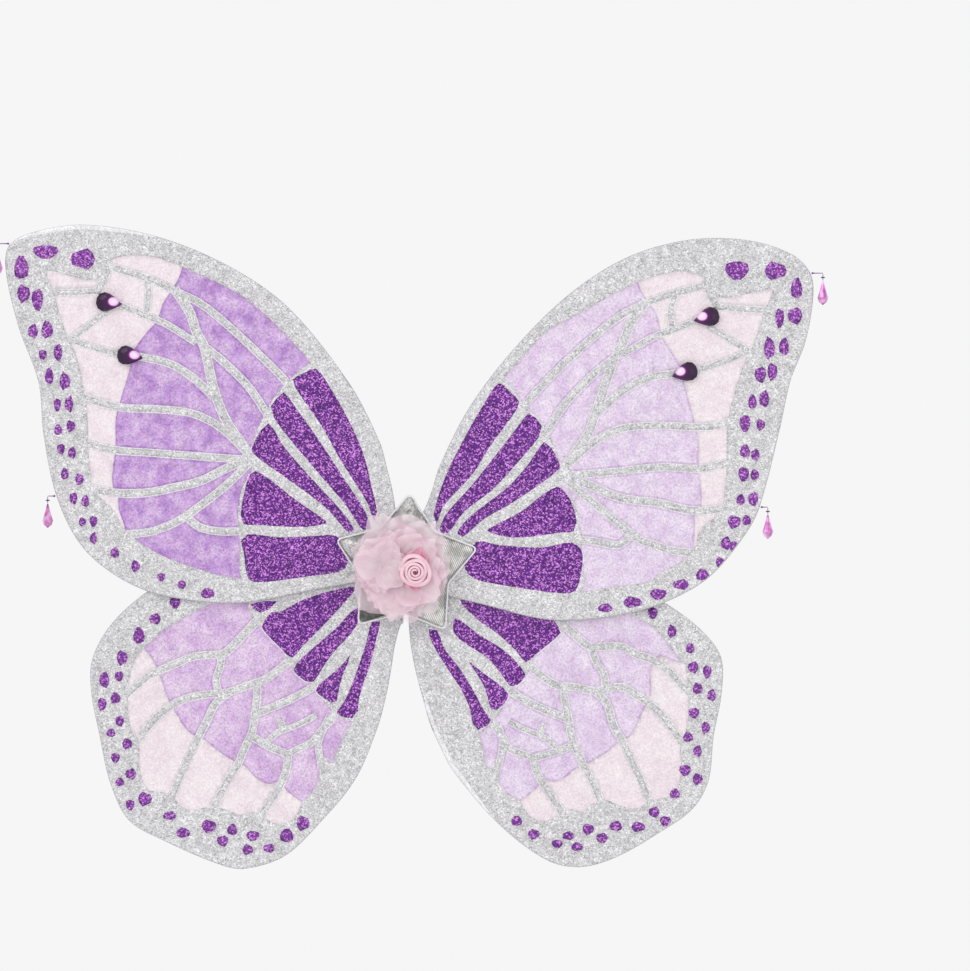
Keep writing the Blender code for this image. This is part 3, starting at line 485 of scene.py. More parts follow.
SURFACES["tulle"] = tulle_surface("pink_tulle", rgb(242, 208, 222), rgb(250, 232, 238), 0.62)
SURFACES["tulle_sheer"] = tulle_surface("sheer_pink_tulle", rgb(246, 218, 230), rgb(252, 238, 243),
                                        0.5)
SURFACES["tulle_deep"] = tulle_surface("pink_tulle_fold", rgb(232, 128, 168), rgb(242, 186, 206), 0.8)
SURFACES["ribbon"] = plain("satin_ribbon", rgb(242, 196, 211), rgb(248, 214, 225), 0.4, 0.0, 0.004,
                           0.08, Sheen_Weight=0.4, Coat_Weight=0.1)


def foiled_gem(name, tip):
    """Purple acrylic over foil: dark, with a painted highlight near the gem's tip."""
    s = Surface(name, roughness=0.16, metallic=0.3, Coat_Weight=0.15, Coat_Roughness=0.03)
    own = s.node("ShaderNodeTexCoord").outputs["Generated"]
    highlight_x, highlight_width, highlight_height = 0.5 + 0.19 * tip, 0.50, 0.58
    placed = s.node("ShaderNodeMapping", Vector=own,
                    Location=(-highlight_x / highlight_width, 0, -0.5 / highlight_height),
                    Scale=(1 / highlight_width, 0, 1 / highlight_height))
    away = s.node("ShaderNodeVectorMath")
    away.operation = "LENGTH"
    s.tree.links.new(placed.outputs[0], away.inputs[0])
    # painted highlight near the tip, fading through a magenta edge into the dark body
    shade = s.ramp(away.outputs["Value"], [(0.0, rgb(255, 240, 255)), (0.34, rgb(244, 206, 246)),
                                          (0.42, rgb(150, 30, 150)), (0.5, rgb(66, 2, 74)),
                                          (1.0, rgb(40, 0, 48))])
    s.link(shade, "Base Color")
    return s.material


def foiled(name, dark, base, light, roughness):
    """Clear coloured acrylic over foil, in shifting shades."""
    s = Surface(name, roughness=roughness, metallic=0.55, Coat_Weight=1.0, Coat_Roughness=0.03)
    s.link(s.ramp(s.noise(0.006, 1.0), [(0.35, dark), (0.52, base), (0.72, light)]), "Base Color")
    return s.material


SURFACES["gem_left"] = foiled_gem("purple_gem_left", 1)
SURFACES["gem_right"] = foiled_gem("purple_gem_right", -1)
SURFACES["drop"] = foiled("lilac_drop", rgb(150, 60, 140), rgb(206, 120, 196), rgb(240, 200, 232), 0.1)


# ---------------------------------------------------------------- shapes
def smooth(points, closed=False, step=STEP):
    """Points about a step apart on a smooth curve through the given ones."""
    pts = [Vector(p) for p in points]
    n = len(pts)
    out = []
    for i in range(n if closed else n - 1):
        if closed:
            a, b, c, d = (pts[(i + k) % n] for k in (-1, 0, 1, 2))
        else:
            a, b, c, d = pts[max(i - 1, 0)], pts[i], pts[i + 1], pts[min(i + 2, n - 1)]
        run = (c - b).length
        leave = (c - a) * run / ((b - a).length + run)
        arrive = (d - b) * run / ((d - c).length + run)
        parts = max(1, round(run / step))
        for k in range(parts):
            t = k / parts
            out.append((2 * t**3 - 3 * t**2 + 1) * b + (t**3 - 2 * t**2 + t) * leave
                       + (3 * t**2 - 2 * t**3) * c + (t**3 - t**2) * arrive)
    if not closed:
        out.append(pts[-1])
    return out


def stroke(points, width):
    """The outline of a line of that width."""
    line = smooth(points)
    left, right = [], []
    for i, p in enumerate(line):
        along = (line[min(i + 1, len(line) - 1)] - line[max(i - 1, 0)]).normalized()
        across = Vector((-along.y, along.x)) * width / 2
        left.append(p + across)
        right.append(p - across)
    return left + right[::-1]


def turning(path):
    """Positive for a path that runs anticlockwise."""
    return sum(a.x * b.y - b.x * a.y for a, b in zip(path, path[1:] + path[:1]))


def offset(path, distance):
    """A closed path moved inwards by a distance, one for each point or one for all."""
    n, side = len(path), 1 if turning(path) > 0 else -1
    moved = []
    for i, p in enumerate(path):
        along = (path[(i + 1) % n] - path[i - 1]).normalized()
        by = distance[i] if isinstance(distance, list) else distance
        moved.append(p + Vector((-along.y, along.x)) * by * side)
    return moved


def hem_path(name, outline):
    """Where the print stops, a hem's width inside the outline."""
    widths = [HEM] * len(outline)
    if name in WIDE_HEMS:
        middle, reach, extra = WIDE_HEMS[name]
        widths = [HEM + extra * math.exp(-((p - Vector(middle)).length / reach) ** 4) for p in outline]
    return offset(outline, widths)


def inside(path, x, z):
    """Which of the places x, z lie inside a closed path."""
    hit = np.zeros(len(x), bool)
    for a, b in zip(path, path[1:] + path[:1]):
        if a.y == b.y:
            continue
        crossing = (a.y > z) != (b.y > z)
        hit ^= crossing & (x < (b.x - a.x) * (z - a.y) / (b.y - a.y) + a.x)
    return hit


def distance_to(path, x, z):
    """How far each place lies from a closed path."""
    best = np.full(len(x), 1e9)
    for a, b in zip(path, path[1:] + path[:1]):
        dx, dz = b.x - a.x, b.y - a.y
        t = np.clip(((x - a.x) * dx + (z - a.y) * dz) / (dx * dx + dz * dz + 1e-12), 0, 1)
        best = np.minimum(best, np.hypot(x - a.x - t * dx, z - a.y - t * dz))
    return best


def shifted(points, pairs):
    """Points moved as the nearby pairs of places say."""
    left = np.array([p for p, _ in pairs], float)
    move = np.array([q for _, q in pairs], float) - left
    out = []
    for p in points:
        weight = 1 / (np.sum((left - np.array(p, float)) ** 2, axis=1) + 40) ** 1.5
        out.append(tuple(np.array(p, float) + weight @ move / weight.sum()))
    return out


def dot_path(x, z, width, height, turn):
    """A dab of glitter: an oval a little off round."""
    path = []
    for i in range(10):
        a = 2 * math.pi * i / 10
        wobble = 1 + 0.1 * math.sin(3 * a + turn) + 0.06 * math.sin(5 * a - turn)
        path.append(Vector((x + width / 2 * wobble * math.cos(a), z + height / 2 * wobble * math.sin(a))))
    return path


def divided(path, step):
    """A closed path with points about a step apart along its sides."""
    out = []
    for a, b in zip(path, path[1:] + path[:1]):
        parts = max(1, round((b - a).length / step))
        out += [a.lerp(b, k / parts) for k in range(parts)]
    return out


def inner_ring(path, inset, share):
    """A closed path moved inwards, without the points that come too near the path again."""
    ring = offset(path, inset)
    x, z = np.array([p.x for p in ring]), np.array([p.y for p in ring])
    keep = inside(path, x, z) & (distance_to(path, x, z) > share * inset)
    return [p for p, k in zip(ring, keep) if k]


def grid(path, xs, zs, clear):
    """The places of a grid that lie inside a closed path, and that far from it."""
    gx, gz = (a.ravel() for a in np.meshgrid(xs, zs))
    keep = inside(path, gx, gz)
    keep[keep] = distance_to(path, gx[keep], gz[keep]) > clear
    return [Vector((x, z)) for x, z in zip(gx[keep], gz[keep])]


def triangulated(points, edges, tolerance):
    """Places and triangles through points and along edges, as arrays."""
    flat, _, triangles, *_ = geometry.delaunay_2d_cdt(points, edges, [], 0, tolerance)
    return np.array([(p.x, p.y) for p in flat]), np.array([t for t in triangles if len(t) == 3])


def skin(rings, sides, start=0, closed=False):
    """Faces round a row of rings of points, with a cap at each end if it isn't closed."""
    faces = []
    for i in range(rings if closed else rings - 1):
        a, b = start + i * sides, start + (i + 1) % rings * sides
        faces += [(a + k, a + (k + 1) % sides, b + (k + 1) % sides, b + k) for k in range(sides)]
    if not closed:
        faces.append(tuple(start + k for k in range(sides))[::-1])
        faces.append(tuple(start + (rings - 1) * sides + k for k in range(sides)))
    return faces


def ribbon_faces(steps, rows):
    """Faces along a ribbon with that many points across it."""
    corners = [i * rows + k for i in range(steps) for k in range(rows - 1)]
    return [(b, b + rows, b + rows + 1, b + 1) for b in corners]


def new_piece(name, verts, faces, surfaces, indices=None, smooth_faces=True):
    mesh = bpy.data.meshes.new(name)
    mesh.from_pydata([tuple(v) for v in verts], [], faces)
    for surface in surfaces:
        mesh.materials.append(SURFACES[surface])
    if indices is not None:
        mesh.polygons.foreach_set("material_index", np.array(indices, np.int32))
    mesh.polygons.foreach_set("use_smooth", [smooth_faces] * len(mesh.polygons))
    mesh.update()
    obj = bpy.data.objects.new(name, mesh)
    bpy.context.scene.collection.objects.link(obj)
    return obj


def tube(name, points, radius, surface, sides=8, closed=False):
    """A round tube through points, in metres."""
    pts = [Vector(p) for p in points]
    verts = []
    n = len(pts)
    normal = None
    for i, p in enumerate(pts):
        if closed:
            along = (pts[(i + 1) % n] - pts[i - 1]).normalized()
        else:
            along = (pts[min(i + 1, n - 1)] - pts[max(i - 1, 0)]).normalized()
        if normal is None:
            normal = along.orthogonal().normalized()
        normal = (normal - along * normal.dot(along)).normalized()
        other = along.cross(normal)
        for k in range(sides):
            a = 2 * math.pi * k / sides
            verts.append(p + radius * (normal * math.cos(a) + other * math.sin(a)))
    return new_piece(name, verts, skin(n, sides, closed=closed), [surface])


# ---------------------------------------------------------------- wings
def wing_print(side, level):
    """(kind, path) of everything printed on a panel, the last one on top."""
    design = PRINT[level]
    place = (lambda pts: pts) if side == "left" else (lambda pts: shifted(pts, SHIFTS[level]))
    layers = [("pink", smooth(place(design["inner"]), True))]
    lilac = smooth(place(design["lilac"]), True)
    layers += [("lilac_deep", lilac), ("lilac", offset(lilac, POOL))]
    cells = [smooth(place(cell), True, 2 * STEP) for cell in design["purple"]]
    veins = [(width, place(points)) for width, points in design["veins"]]
    pooled = 2 * (VEIN_EDGE + POOL)
    layers += [("lilac_deep", stroke(points, width + pooled)) for width, points in veins[::2]]
    layers.append(("root", smooth(place(design["root"]), True, 2 * STEP)))
    layers += [("bare", stroke(points, width + 2 * VEIN_EDGE)) for width, points in veins]
    layers += [("silver", stroke(points, width)) for width, points in veins]
    layers += [("bare", offset(cell, -CELL_EDGE)) for cell in cells]
    layers += [("purple", cell) for cell in cells]
    for i, dot in enumerate(DOTS[level + "_" + side]):
        layers.append(("dot", dot_path(*dot, turn=1.7 * i)))
    return layers


def cloth_half(edge):
    """Half the thickness at a distance from the edge, all in mm."""
    over_wire = RIM_HALF * np.sqrt(np.clip(1 - ((RIM - np.minimum(edge, RIM)) / RIM) ** 2, 0, 1))
    beyond = CLOTH_HALF + (RIM_HALF - CLOTH_HALF) * np.exp(-(((np.maximum(edge, RIM) - RIM) / 2.6) ** 1.3))
    return np.where(edge < RIM, over_wire, beyond)


def panel(side, level):
    """One wing's nylon: the printed front, the plain back and the rim drawn round the wire."""
    name = level + "_" + side
    outline = smooth(OUTLINES[name], True)
    layers = wing_print(side, level)
    hem = hem_path(name, outline)

    points, edges = [], []

    def constrain(path):
        start = len(points)
        points.extend(Vector((p[0], p[1])) for p in path)
        count = len(path)
        edges.extend((start + i, start + (i + 1) % count) for i in range(count))

    constrain(outline)
    constrain(hem)
    for inset in (0.3, RIM, 2.6, 4.2):
        points.extend(inner_ring(outline, inset, 0.9))
    for _, path in layers:
        constrain(path)
    points.extend(grid(outline, np.arange(0, 280, GRID), np.arange(-216, 236, GRID), 5))

    co, tri = triangulated(points, edges, 0.05)
    middle = co[tri].mean(axis=1)
    keep = inside(outline, *middle.T)
    tri, middle = tri[keep], middle[keep]

    x, z = middle.T
    kind = np.full(len(tri), PRINTS.index("silver"))
    first = True
    for what, path in layers:
        hit = inside(path, x, z)
        tinted = np.isin(kind, [PRINTS.index("lilac"), PRINTS.index("lilac_deep")])
        if what == "lilac_deep":
            kind[hit & (tinted | (kind == PRINTS.index("pink")) & first)] = PRINTS.index(what)
            first = False
        elif what == "lilac":
            kind[hit & tinted] = PRINTS.index(what)
        elif what == "root":
            kind[hit & tinted] = PRINTS.index("silver")
        elif what == "bare":
            kind[hit & (kind != PRINTS.index("silver"))] = PRINTS.index("bare")
        else:
            kind[hit] = PRINTS.index(what)
    kind[~inside(hem, x, z)] = PRINTS.index("bare")
    kind[distance_to(outline, x, z) < HEM / 2 + 0.15] = PRINTS.index("rim")

    sign = -1 if side == "left" else 1
    mid = (UPPER_Y if level == "upper" else LOWER_Y) / MM
    edge = distance_to(outline, *co.T)
    half = cloth_half(edge)
    calm = np.clip((edge - 3) / 20, 0, 1)
    wave = np.array([0.28 * noise.noise(Vector((p[0] / 34, p[1] / 34, 3.1 if level == "upper" else 7.7)))
                     for p in co]) * calm
    relief = np.array([RELIEF[k] for k in PRINTS])

    verts, faces, indices, known = [], [], [], {}

    def vertex(i, lift, back):
        if edge[i] < 0.02:
            lift, back = 0.0, False
        key = (i, lift, back)
        if key not in known:
            known[key] = len(verts)
            y = mid + wave[i] + (half[i] if back else -half[i] - lift)
            verts.append((sign * co[i][0] * MM, y * MM, co[i][1] * MM))
        return known[key]

    rear_kinds = ["rim", "bare", "pink", "lilac", "purple", "silver"]
    behind = {k: len(PRINTS) + i for i, k in enumerate(rear_kinds)}
    behind |= {"lilac_deep": behind["lilac"], "dot": behind["purple"]}
    sides = {}
    for t, k in zip(tri, kind):
        lift = relief[k]
        order = t if sign > 0 else t[::-1]
        face = [vertex(i, lift, False) for i in order]
        rear = [vertex(i, 0.0, True) for i in order[::-1]]
        for corners, index in ((face, k), (rear, behind[PRINTS[k]])):
            if len(set(corners)) == 3:
                faces.append(corners)
                indices.append(index)
        for i in range(3):
            a, b = order[i], order[(i + 1) % 3]
            sides[(a, b)] = k
    # the step from one coat to the next
    for (a, b), k in sides.items():
        other = sides.get((b, a))
        if other is None or relief[other] >= relief[k]:
            continue
        quad = [vertex(b, relief[k], False), vertex(a, relief[k], False),
                vertex(a, relief[other], False), vertex(b, relief[other], False)]
        if len(set(quad)) == 4:
            faces.append(quad)
            indices.append(k)

    tone = {"upper_left": "", "lower_left": "_soft"}.get(name, "_pale")
    fronts = [p + tone if "lilac" in p else p for p in PRINTS]
    surfaces = fronts + ["rim", "back_bare", "back_pink", "back_lilac", "back_purple", "back_silver"]
    piece = new_piece(f"{name}_nylon", verts, faces, surfaces, indices)
    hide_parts(f"{level}_{side}_cover")
    return piece


def wire(side, level):
    """The steel wire that the nylon is drawn over, bent along the panel's edge."""
    name, sign = f"{level}_{side}", -1 if side == "left" else 1
    y = UPPER_Y if level == "upper" else LOWER_Y
    path = offset(smooth(OUTLINES[name], True, 1.5 * STEP), RIM)
    piece = tube(f"{name}_bent_wire", [(sign * p.x * MM, y, p.y * MM) for p in path],
                 0.95 * MM, "wire", 8, closed=True)
    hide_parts(f"{name}_wire")
    return piece


def wings():
    for side, sign in (("left", -1), ("right", 1)):
        for level in ("upper", "lower"):
            piece, frame_wire = panel(side, level), wire(side, level)
            for bent in (piece, frame_wire):
                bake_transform(bent)


# ---------------------------------------------------------------- star and flower
def star_path(scale, corner=4.2):
    """The star's outline, its ten corners rounded, in mm."""
    corners = []
    for i in range(10):
        radius = scale * (STAR_TIP if i % 2 == 0 else STAR_NOTCH)
        a = math.radians(STAR_TOP) + i * math.pi / 5
        corners.append(Vector((STAR_CENTRE[0] + radius * math.cos(a), STAR_CENTRE[1] + radius * math.sin(a))))
    path = []
    for i, p in enumerate(corners):
        a, b = corners[i - 1], corners[(i + 1) % 10]
        reach = corner * (1.0 if i % 2 == 0 else 0.5)
        start, end = p + (a - p).normalized() * reach, p + (b - p).normalized() * reach
        for k in range(5):
            t = k / 4
            path.append((1 - t) ** 2 * start + 2 * t * (1 - t) * p + t**2 * end)
    return divided(path, 2.4)


def pressed(obj, cap, pressure, frames=20):
    """The piece swollen like stuffed cloth, no point further than the cap."""
    before = np.array([v.co for v in obj.data.vertices])
    cloth = obj.modifiers.new("stuffing", "CLOTH")
    cloth.settings.use_pressure = True
    cloth.settings.uniform_pressure_force = pressure
    cloth.settings.effector_weights.gravity = 0
    cloth.settings.quality = 5
    bpy.context.view_layer.objects.active = obj
    for f in range(1, frames + 1):
        bpy.context.scene.frame_set(f)
    shape = obj.evaluated_get(bpy.context.evaluated_depsgraph_get()).data
    after = np.array([v.co for v in shape.vertices])
    obj.modifiers.remove(cloth)
    move = after - before
    length = np.linalg.norm(move, axis=1, keepdims=True)
    move *= np.minimum(1, cap / np.maximum(length, 1e-9))
    obj.data.vertices.foreach_set("co", (before + move).ravel())
    obj.data.update()
    bpy.context.scene.frame_set(1)
    return obj


def star():
    """A lamé star, stuffed, with a piped seam."""
    edge = star_path(0.99)
    points, edges = list(edge), [(i, (i + 1) % len(edge)) for i in range(len(edge))]
    for inset in (1.0, 2.4):
        points += inner_ring(edge, inset, 0.85)
    points += grid(edge, np.arange(-56, 56, 2.2), np.arange(-60, 50, 2.2), 3.2)
    co, tri = triangulated(points, edges, 0.02)
    tri = tri[inside(edge, *co[tri].mean(axis=1).T)]
    depth = distance_to(edge, *co.T)
    radial = np.hypot(co[:, 0] - STAR_CENTRE[0], co[:, 1] - STAR_CENTRE[1])
    crown = STAR_CROWN * 0.92 * (1 - np.exp(-depth / 6.5)) / (1 - math.exp(-26 / 6.5))
    angle = np.arctan2(co[:, 1] - STAR_CENTRE[1], co[:, 0] - STAR_CENTRE[0])
    crumple = np.array([1.1 * noise.noise(Vector((p[0] / 7, p[1] / 7, 2.3))) for p in co])
    crumple *= np.clip(depth / 4, 0, 1) * np.clip((radial - 18) / 10, 0, 1)
    pucker = 0.35 * np.sin(angle * 64) * np.exp(-((depth - 2) / 1.8) ** 2)
    # one sharp fold runs down each arm, off its middle
    along = np.mod(angle - math.radians(STAR_TOP) + math.pi / 5, 2 * math.pi / 5) - math.pi / 5
    fold = 0.9 * np.exp(-((radial * np.sin(along) - 2.0) / 1.6) ** 2) * np.clip((radial - 20) / 12, 0, 1)
    fold *= np.clip(depth / 4, 0, 1)
    lift = np.clip(crown + crumple + pucker - fold * 0.8, 0, STAR_CROWN)
    verts = [(x * MM, (STAR_EDGE_Y - h) * MM, z * MM) for (x, z), h in zip(co, lift)]
    rear = {}
    for i in range(len(co)):
        if depth[i] >= 0.02:
            rear[i] = len(verts)
            verts.append((co[i][0] * MM, (STAR_BACK_Y - 0.15) * MM, co[i][1] * MM))
    faces, indices = [], []
    for t in tri:
        faces.append(tuple(t))
        indices.append(0)
        faces.append(tuple(rear.get(i, i) for i in t[::-1]))
        indices.append(1)
    piece = new_piece("star", verts, faces, ["lame", "lame_back"], indices)
    pressed(piece, 0.0012, 3.0)
    for v in piece.data.vertices:
        v.co.y = min(v.co.y, STAR_BACK_Y * MM)
    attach(piece, "root")
    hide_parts("star_front_panel", "star_rear_panel", "star_wadding")

    piping = tube("star_piping", [(p.x * MM, (STAR_EDGE_Y - 0.5) * MM, p.y * MM) for p in star_path(1.0)],
                  0.0007, "piping", 6, closed=True)
    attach(piping, "root")


def petal(verts, faces, centre, heading, reach, width, base_y, rise, seed):
    """One gathered petal: a cupped tongue of tulle with a ruffled edge."""
    rows, columns = 10, 19
    start = len(verts)
    for i in range(rows):
        r = i / (rows - 1)
        for j in range(columns):
            s = 2 * j / (columns - 1) - 1
            spread = width / 2 * math.sin(math.pi * min(1, 0.16 + 0.62 * r)) * (1 - 0.1 * r)
            ragged = noise.noise(Vector((2.6 * s + seed, 0.4, 2 * seed))) * 0.15 * r**3
            out = reach * (r - 0.2 * s * s * r + ragged)
            wobble = noise.noise(Vector((3 * s + seed, 3 * r, seed)))
            across = s * spread
            gather = (0.6 + 0.8 * r) * math.sin(9 * s + seed) + 1.6 * wobble * r
            lift = rise * (math.sin(math.pi * 0.6 * r) + 0.25 * s * s) + gather
            x = centre[0] + math.cos(heading) * out - math.sin(heading) * across
            z = centre[1] + math.sin(heading) * out + math.cos(heading) * across
            verts.append((x * MM, (base_y - lift) * MM, z * MM))
    for i in range(rows - 1):
        for j in range(columns - 1):
            a = start + i * columns + j
            faces.append((a, a + 1, a + columns + 1, a + columns))


def tulle_layer(name, node, centre, radius, count, base_y, rise, turn, surface, upward=0.0):
    """A ring of petals, longer towards the top where asked."""
    verts, faces = [], []
    for i in range(count):
        heading = turn + 2 * math.pi * i / count
        reach = radius * (1 + 0.07 * math.sin(2.3 * i + turn) + upward * max(0, math.sin(heading)) ** 2)
        # petals stand up unevenly, which fills the gap to the next layer
        petal(verts, faces, centre, heading, reach, 1.3 * radius, base_y - 0.18 * (i % 3),
              rise * (0.95 + 0.45 * math.sin(2.4 * i + turn)), 1.9 * i + turn)
    piece = new_piece(name, verts, faces, [surface])
    smoother = piece.modifiers.new("soft", "SUBSURF")
    smoother.levels = smoother.render_levels = 1
    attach(piece, "root")
    if node:
        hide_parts(node)


def rose():
    """A satin ribbon rolled into a rosebud, each turn overlapping the one inside."""
    turns, steps, rows = 4.4, 200, 6
    verts = []
    for i in range(steps + 1):
        t = i / steps
        a = 2 * math.pi * turns * t + 0.6
        radius = 0.7 + (ROSE_RADIUS - 2.4) * t**1.2
        # the outer turns open into petals
        petals = math.sin(2.6 * a + 0.5)
        radius *= 1 + 0.09 * petals * t
        pitch = 1.2 + 1.9 * t
        crest = 9.0 - 5.4 * t**1.2 + 0.5 * petals * t
        for k in range(rows):
            up = k / (rows - 1)
            r = radius + pitch * (1 - up) ** 1.1 + 0.3 * up**4
            y = -33.9 - crest + (0.8 + 0.8 * t) * (1 - up) ** 1.5 + 0.2 * up**6
            verts.append(((ROSE_CENTRE[0] + r * math.cos(a)) * MM, min(y, -32.4) * MM,
                          (ROSE_CENTRE[1] + r * math.sin(a)) * MM))
    piece = new_piece("ribbon_rose_folded", verts, ribbon_faces(steps, rows), ["ribbon"])
    thick = piece.modifiers.new("ribbon", "SOLIDIFY")
    thick.thickness, thick.offset = 0.0003, 0
    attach(piece, "root")
    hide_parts("ribbon_rose")


def flower():
    tulle_layer("tulle_back_petals", "tulle_back", FLOWER_CENTRE, 33.5, 11, -21.6, 4.0, 0.3,
                "tulle_sheer", 0.22)
    tulle_layer("tulle_middle_petals", "tulle_middle", FLOWER_CENTRE, 30, 10, -26.6, 4.8, 0.7,
                "tulle")
    tulle_layer("tulle_front_petals", "tulle_front", (-17.5, -4.0), 18, 7, -31.2, 4.2, 0.2,
                "tulle_sheer")
    # deeper pink where the tulle is gathered beside the rose
    tulle_layer("tulle_folds", None, (3.4, -5.5), 13.8, 5, -31.4, 2.4, 1.1, "tulle_deep")
    rose()


# ---------------------------------------------------------------- gems and charms
def dress(name, surface):
    """A CAD node that is shown, in its finished material."""
    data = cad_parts[name].data
    data.materials.clear()
    data.materials.append(SURFACES[surface])


def carried_over():
    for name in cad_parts:
        if name == "wire_twist":
            dress(name, "wire")
        elif name.startswith(("charm_thread", "charm_link")):
            dress(name, "thread")
        elif name.startswith("seed_bead"):
            dress(name, "seed")
        elif name.startswith("drop_bead"):
            dress(name, "drop")
        elif name.startswith("gem_"):
            dress(name, "gem_left" if "left" in name else "gem_right")


# ---------------------------------------------------------------- back
def pad():
    """A felt-covered foam pad against the wearer's back, stitched round its edge."""
    edge = []
    for turn, (x, z) in enumerate([(1, 1), (-1, 1), (-1, -1), (1, -1)]):
        middle = Vector((x * (PAD_HALF_X - PAD_CORNER), z * (PAD_HALF_Z - PAD_CORNER)))
        for k in range(7):
            a = math.pi / 2 * (turn + k / 6)
            edge.append(middle + PAD_CORNER * Vector((math.cos(a), math.sin(a))))
    dense = divided(edge, 1.2)
    points, edges = list(dense), [(i, (i + 1) % len(dense)) for i in range(len(dense))]
    points += offset(dense, 0.6) + offset(dense, 1.5)
    points += grid(dense, np.arange(-12, 13, 1.3), np.arange(-19, 20, 1.3), 2.2)
    co, tri = triangulated(points, edges, 0.02)
    depth = distance_to(dense, *co.T)
    swell = 1 - np.exp(-depth / 1.6)
    along = np.arctan2(co[:, 1] / PAD_HALF_Z, co[:, 0] / PAD_HALF_X)
    pucker = 0.14 * np.sin(44 * along) * np.exp(-((depth - 1.4) / 1.0) ** 2)
    rough = np.array([0.12 * noise.noise(Vector((p[0] / 3, p[1] / 3, 5.0))) for p in co])
    verts = [(x * MM, (PAD_SEAM_Y + 2.2 * w + u + r) * MM, z * MM)
             for (x, z), w, u, r in zip(co, swell, pucker, rough)]
    front = {}
    for i, ((x, z), w) in enumerate(zip(co, swell)):
        if depth[i] > 0.02:
            front[i] = len(verts)
            verts.append((x * MM, (PAD_SEAM_Y - 1.8 * w) * MM, z * MM))
    faces = []
    for t in tri:
        faces.append(tuple(int(i) for i in t[::-1]))
        faces.append(tuple(front.get(int(i), int(i)) for i in t))
    piece = new_piece("felt_pad", verts, faces, ["felt"])
    pressed(piece, 0.0003, 2.0)
    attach(piece, "root")
    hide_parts("pad_case", "pad_foam")

    # overcast stitches round the seam
    verts, faces = [], []
    ring, inner = offset(dense, -0.12), offset(dense, 1.0)
    for p, q in list(zip(ring, inner))[::2]:
        out = (p - q).normalized()
        arc = []
        for k in range(7):
            a = math.pi * (k / 6 - 0.5)
            back = p - out * (1.3 * (1 - math.cos(a)))
            arc.append(Vector((back.x, PAD_SEAM_Y + 1.35 * math.sin(a), back.y)) * MM)
        add_thread(verts, faces, arc, 0.22 * MM)
    stitches = new_piece("pad_stitching", verts, faces, ["stitch"])
    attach(stitches, "root")


def add_thread(verts, faces, points, radius, sides=5):
    """Another short round thread in a piece that is being built up."""
    start, n = len(verts), len(points)
    for i, p in enumerate(points):
        along = (points[min(i + 1, n - 1)] - points[max(i - 1, 0)]).normalized()
        normal = along.orthogonal().normalized()
        other = along.cross(normal)
        for k in range(sides):
            a = 2 * math.pi * k / sides
            verts.append(p + radius * (normal * math.cos(a) + other * math.sin(a)))
    faces.extend(skin(n, sides, start))


def binding():
    """The ribbon wound round the wire ends, each turn lapping over the next."""
    ribbon_width, pitch, around, rows = 10.0, 6.6, 44, 6
    turns = (2 * BINDING_HALF_Z - ribbon_width) / pitch
    steps = round(turns * around)
    verts = []
    length, last = 0.0, None
    for i in range(steps + 1):
        a = 2 * math.pi * i / around
        c, s = math.cos(a), math.sin(a)
        for k in range(rows):
            u = k / (rows - 1)
            z = -BINDING_HALF_Z + pitch * i / around + ribbon_width * u
            crease = 0.07 * noise.noise(Vector((3 * c, 3 * s, z / 2.5)))
            out = -0.28 + 0.36 * u + crease
            x = math.copysign(abs(c) ** 0.5, c) * (BINDING_HALF_X + out)
            y = math.copysign(abs(s) ** 0.5, s) * (BINDING_HALF_Y + out)
            verts.append((x * MM, (BINDING_Y + y) * MM, z * MM))
        here = Vector(verts[-rows])
        length += (here - last).length if last else 0.0
        last = here
    piece = new_piece("wound_binding_ribbon", verts, ribbon_faces(steps, rows), ["binding"])
    thick = piece.modifiers.new("ribbon", "SOLIDIFY")
    thick.thickness, thick.offset = 0.00018, 0
    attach(piece, "root")
    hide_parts("binding_sleeve")


def strip(name, path, wides, half_width, half_thick, surface):
    """A flat elastic band along a path in mm, its selvedges a little thinner."""
    verts = []
    n = len(path)
    section = ((-1, -1), (-0.92, -1), (0.92, -1), (1, -1), (1, 1), (0.92, 1), (-0.92, 1), (-1, 1))
    for i, (p, wide) in enumerate(zip(path, wides)):
        along = (path[min(i + 1, n - 1)] - path[max(i - 1, 0)]).normalized()
        normal = along.cross(wide).normalized()
        for u, v in section:
            thin = half_thick * (0.75 if abs(u) == 1 else 1)
            verts.append((p + wide * (half_width * u) + normal * (thin * v)) * MM)
    return new_piece(name, verts, skin(n, len(section)), [surface])


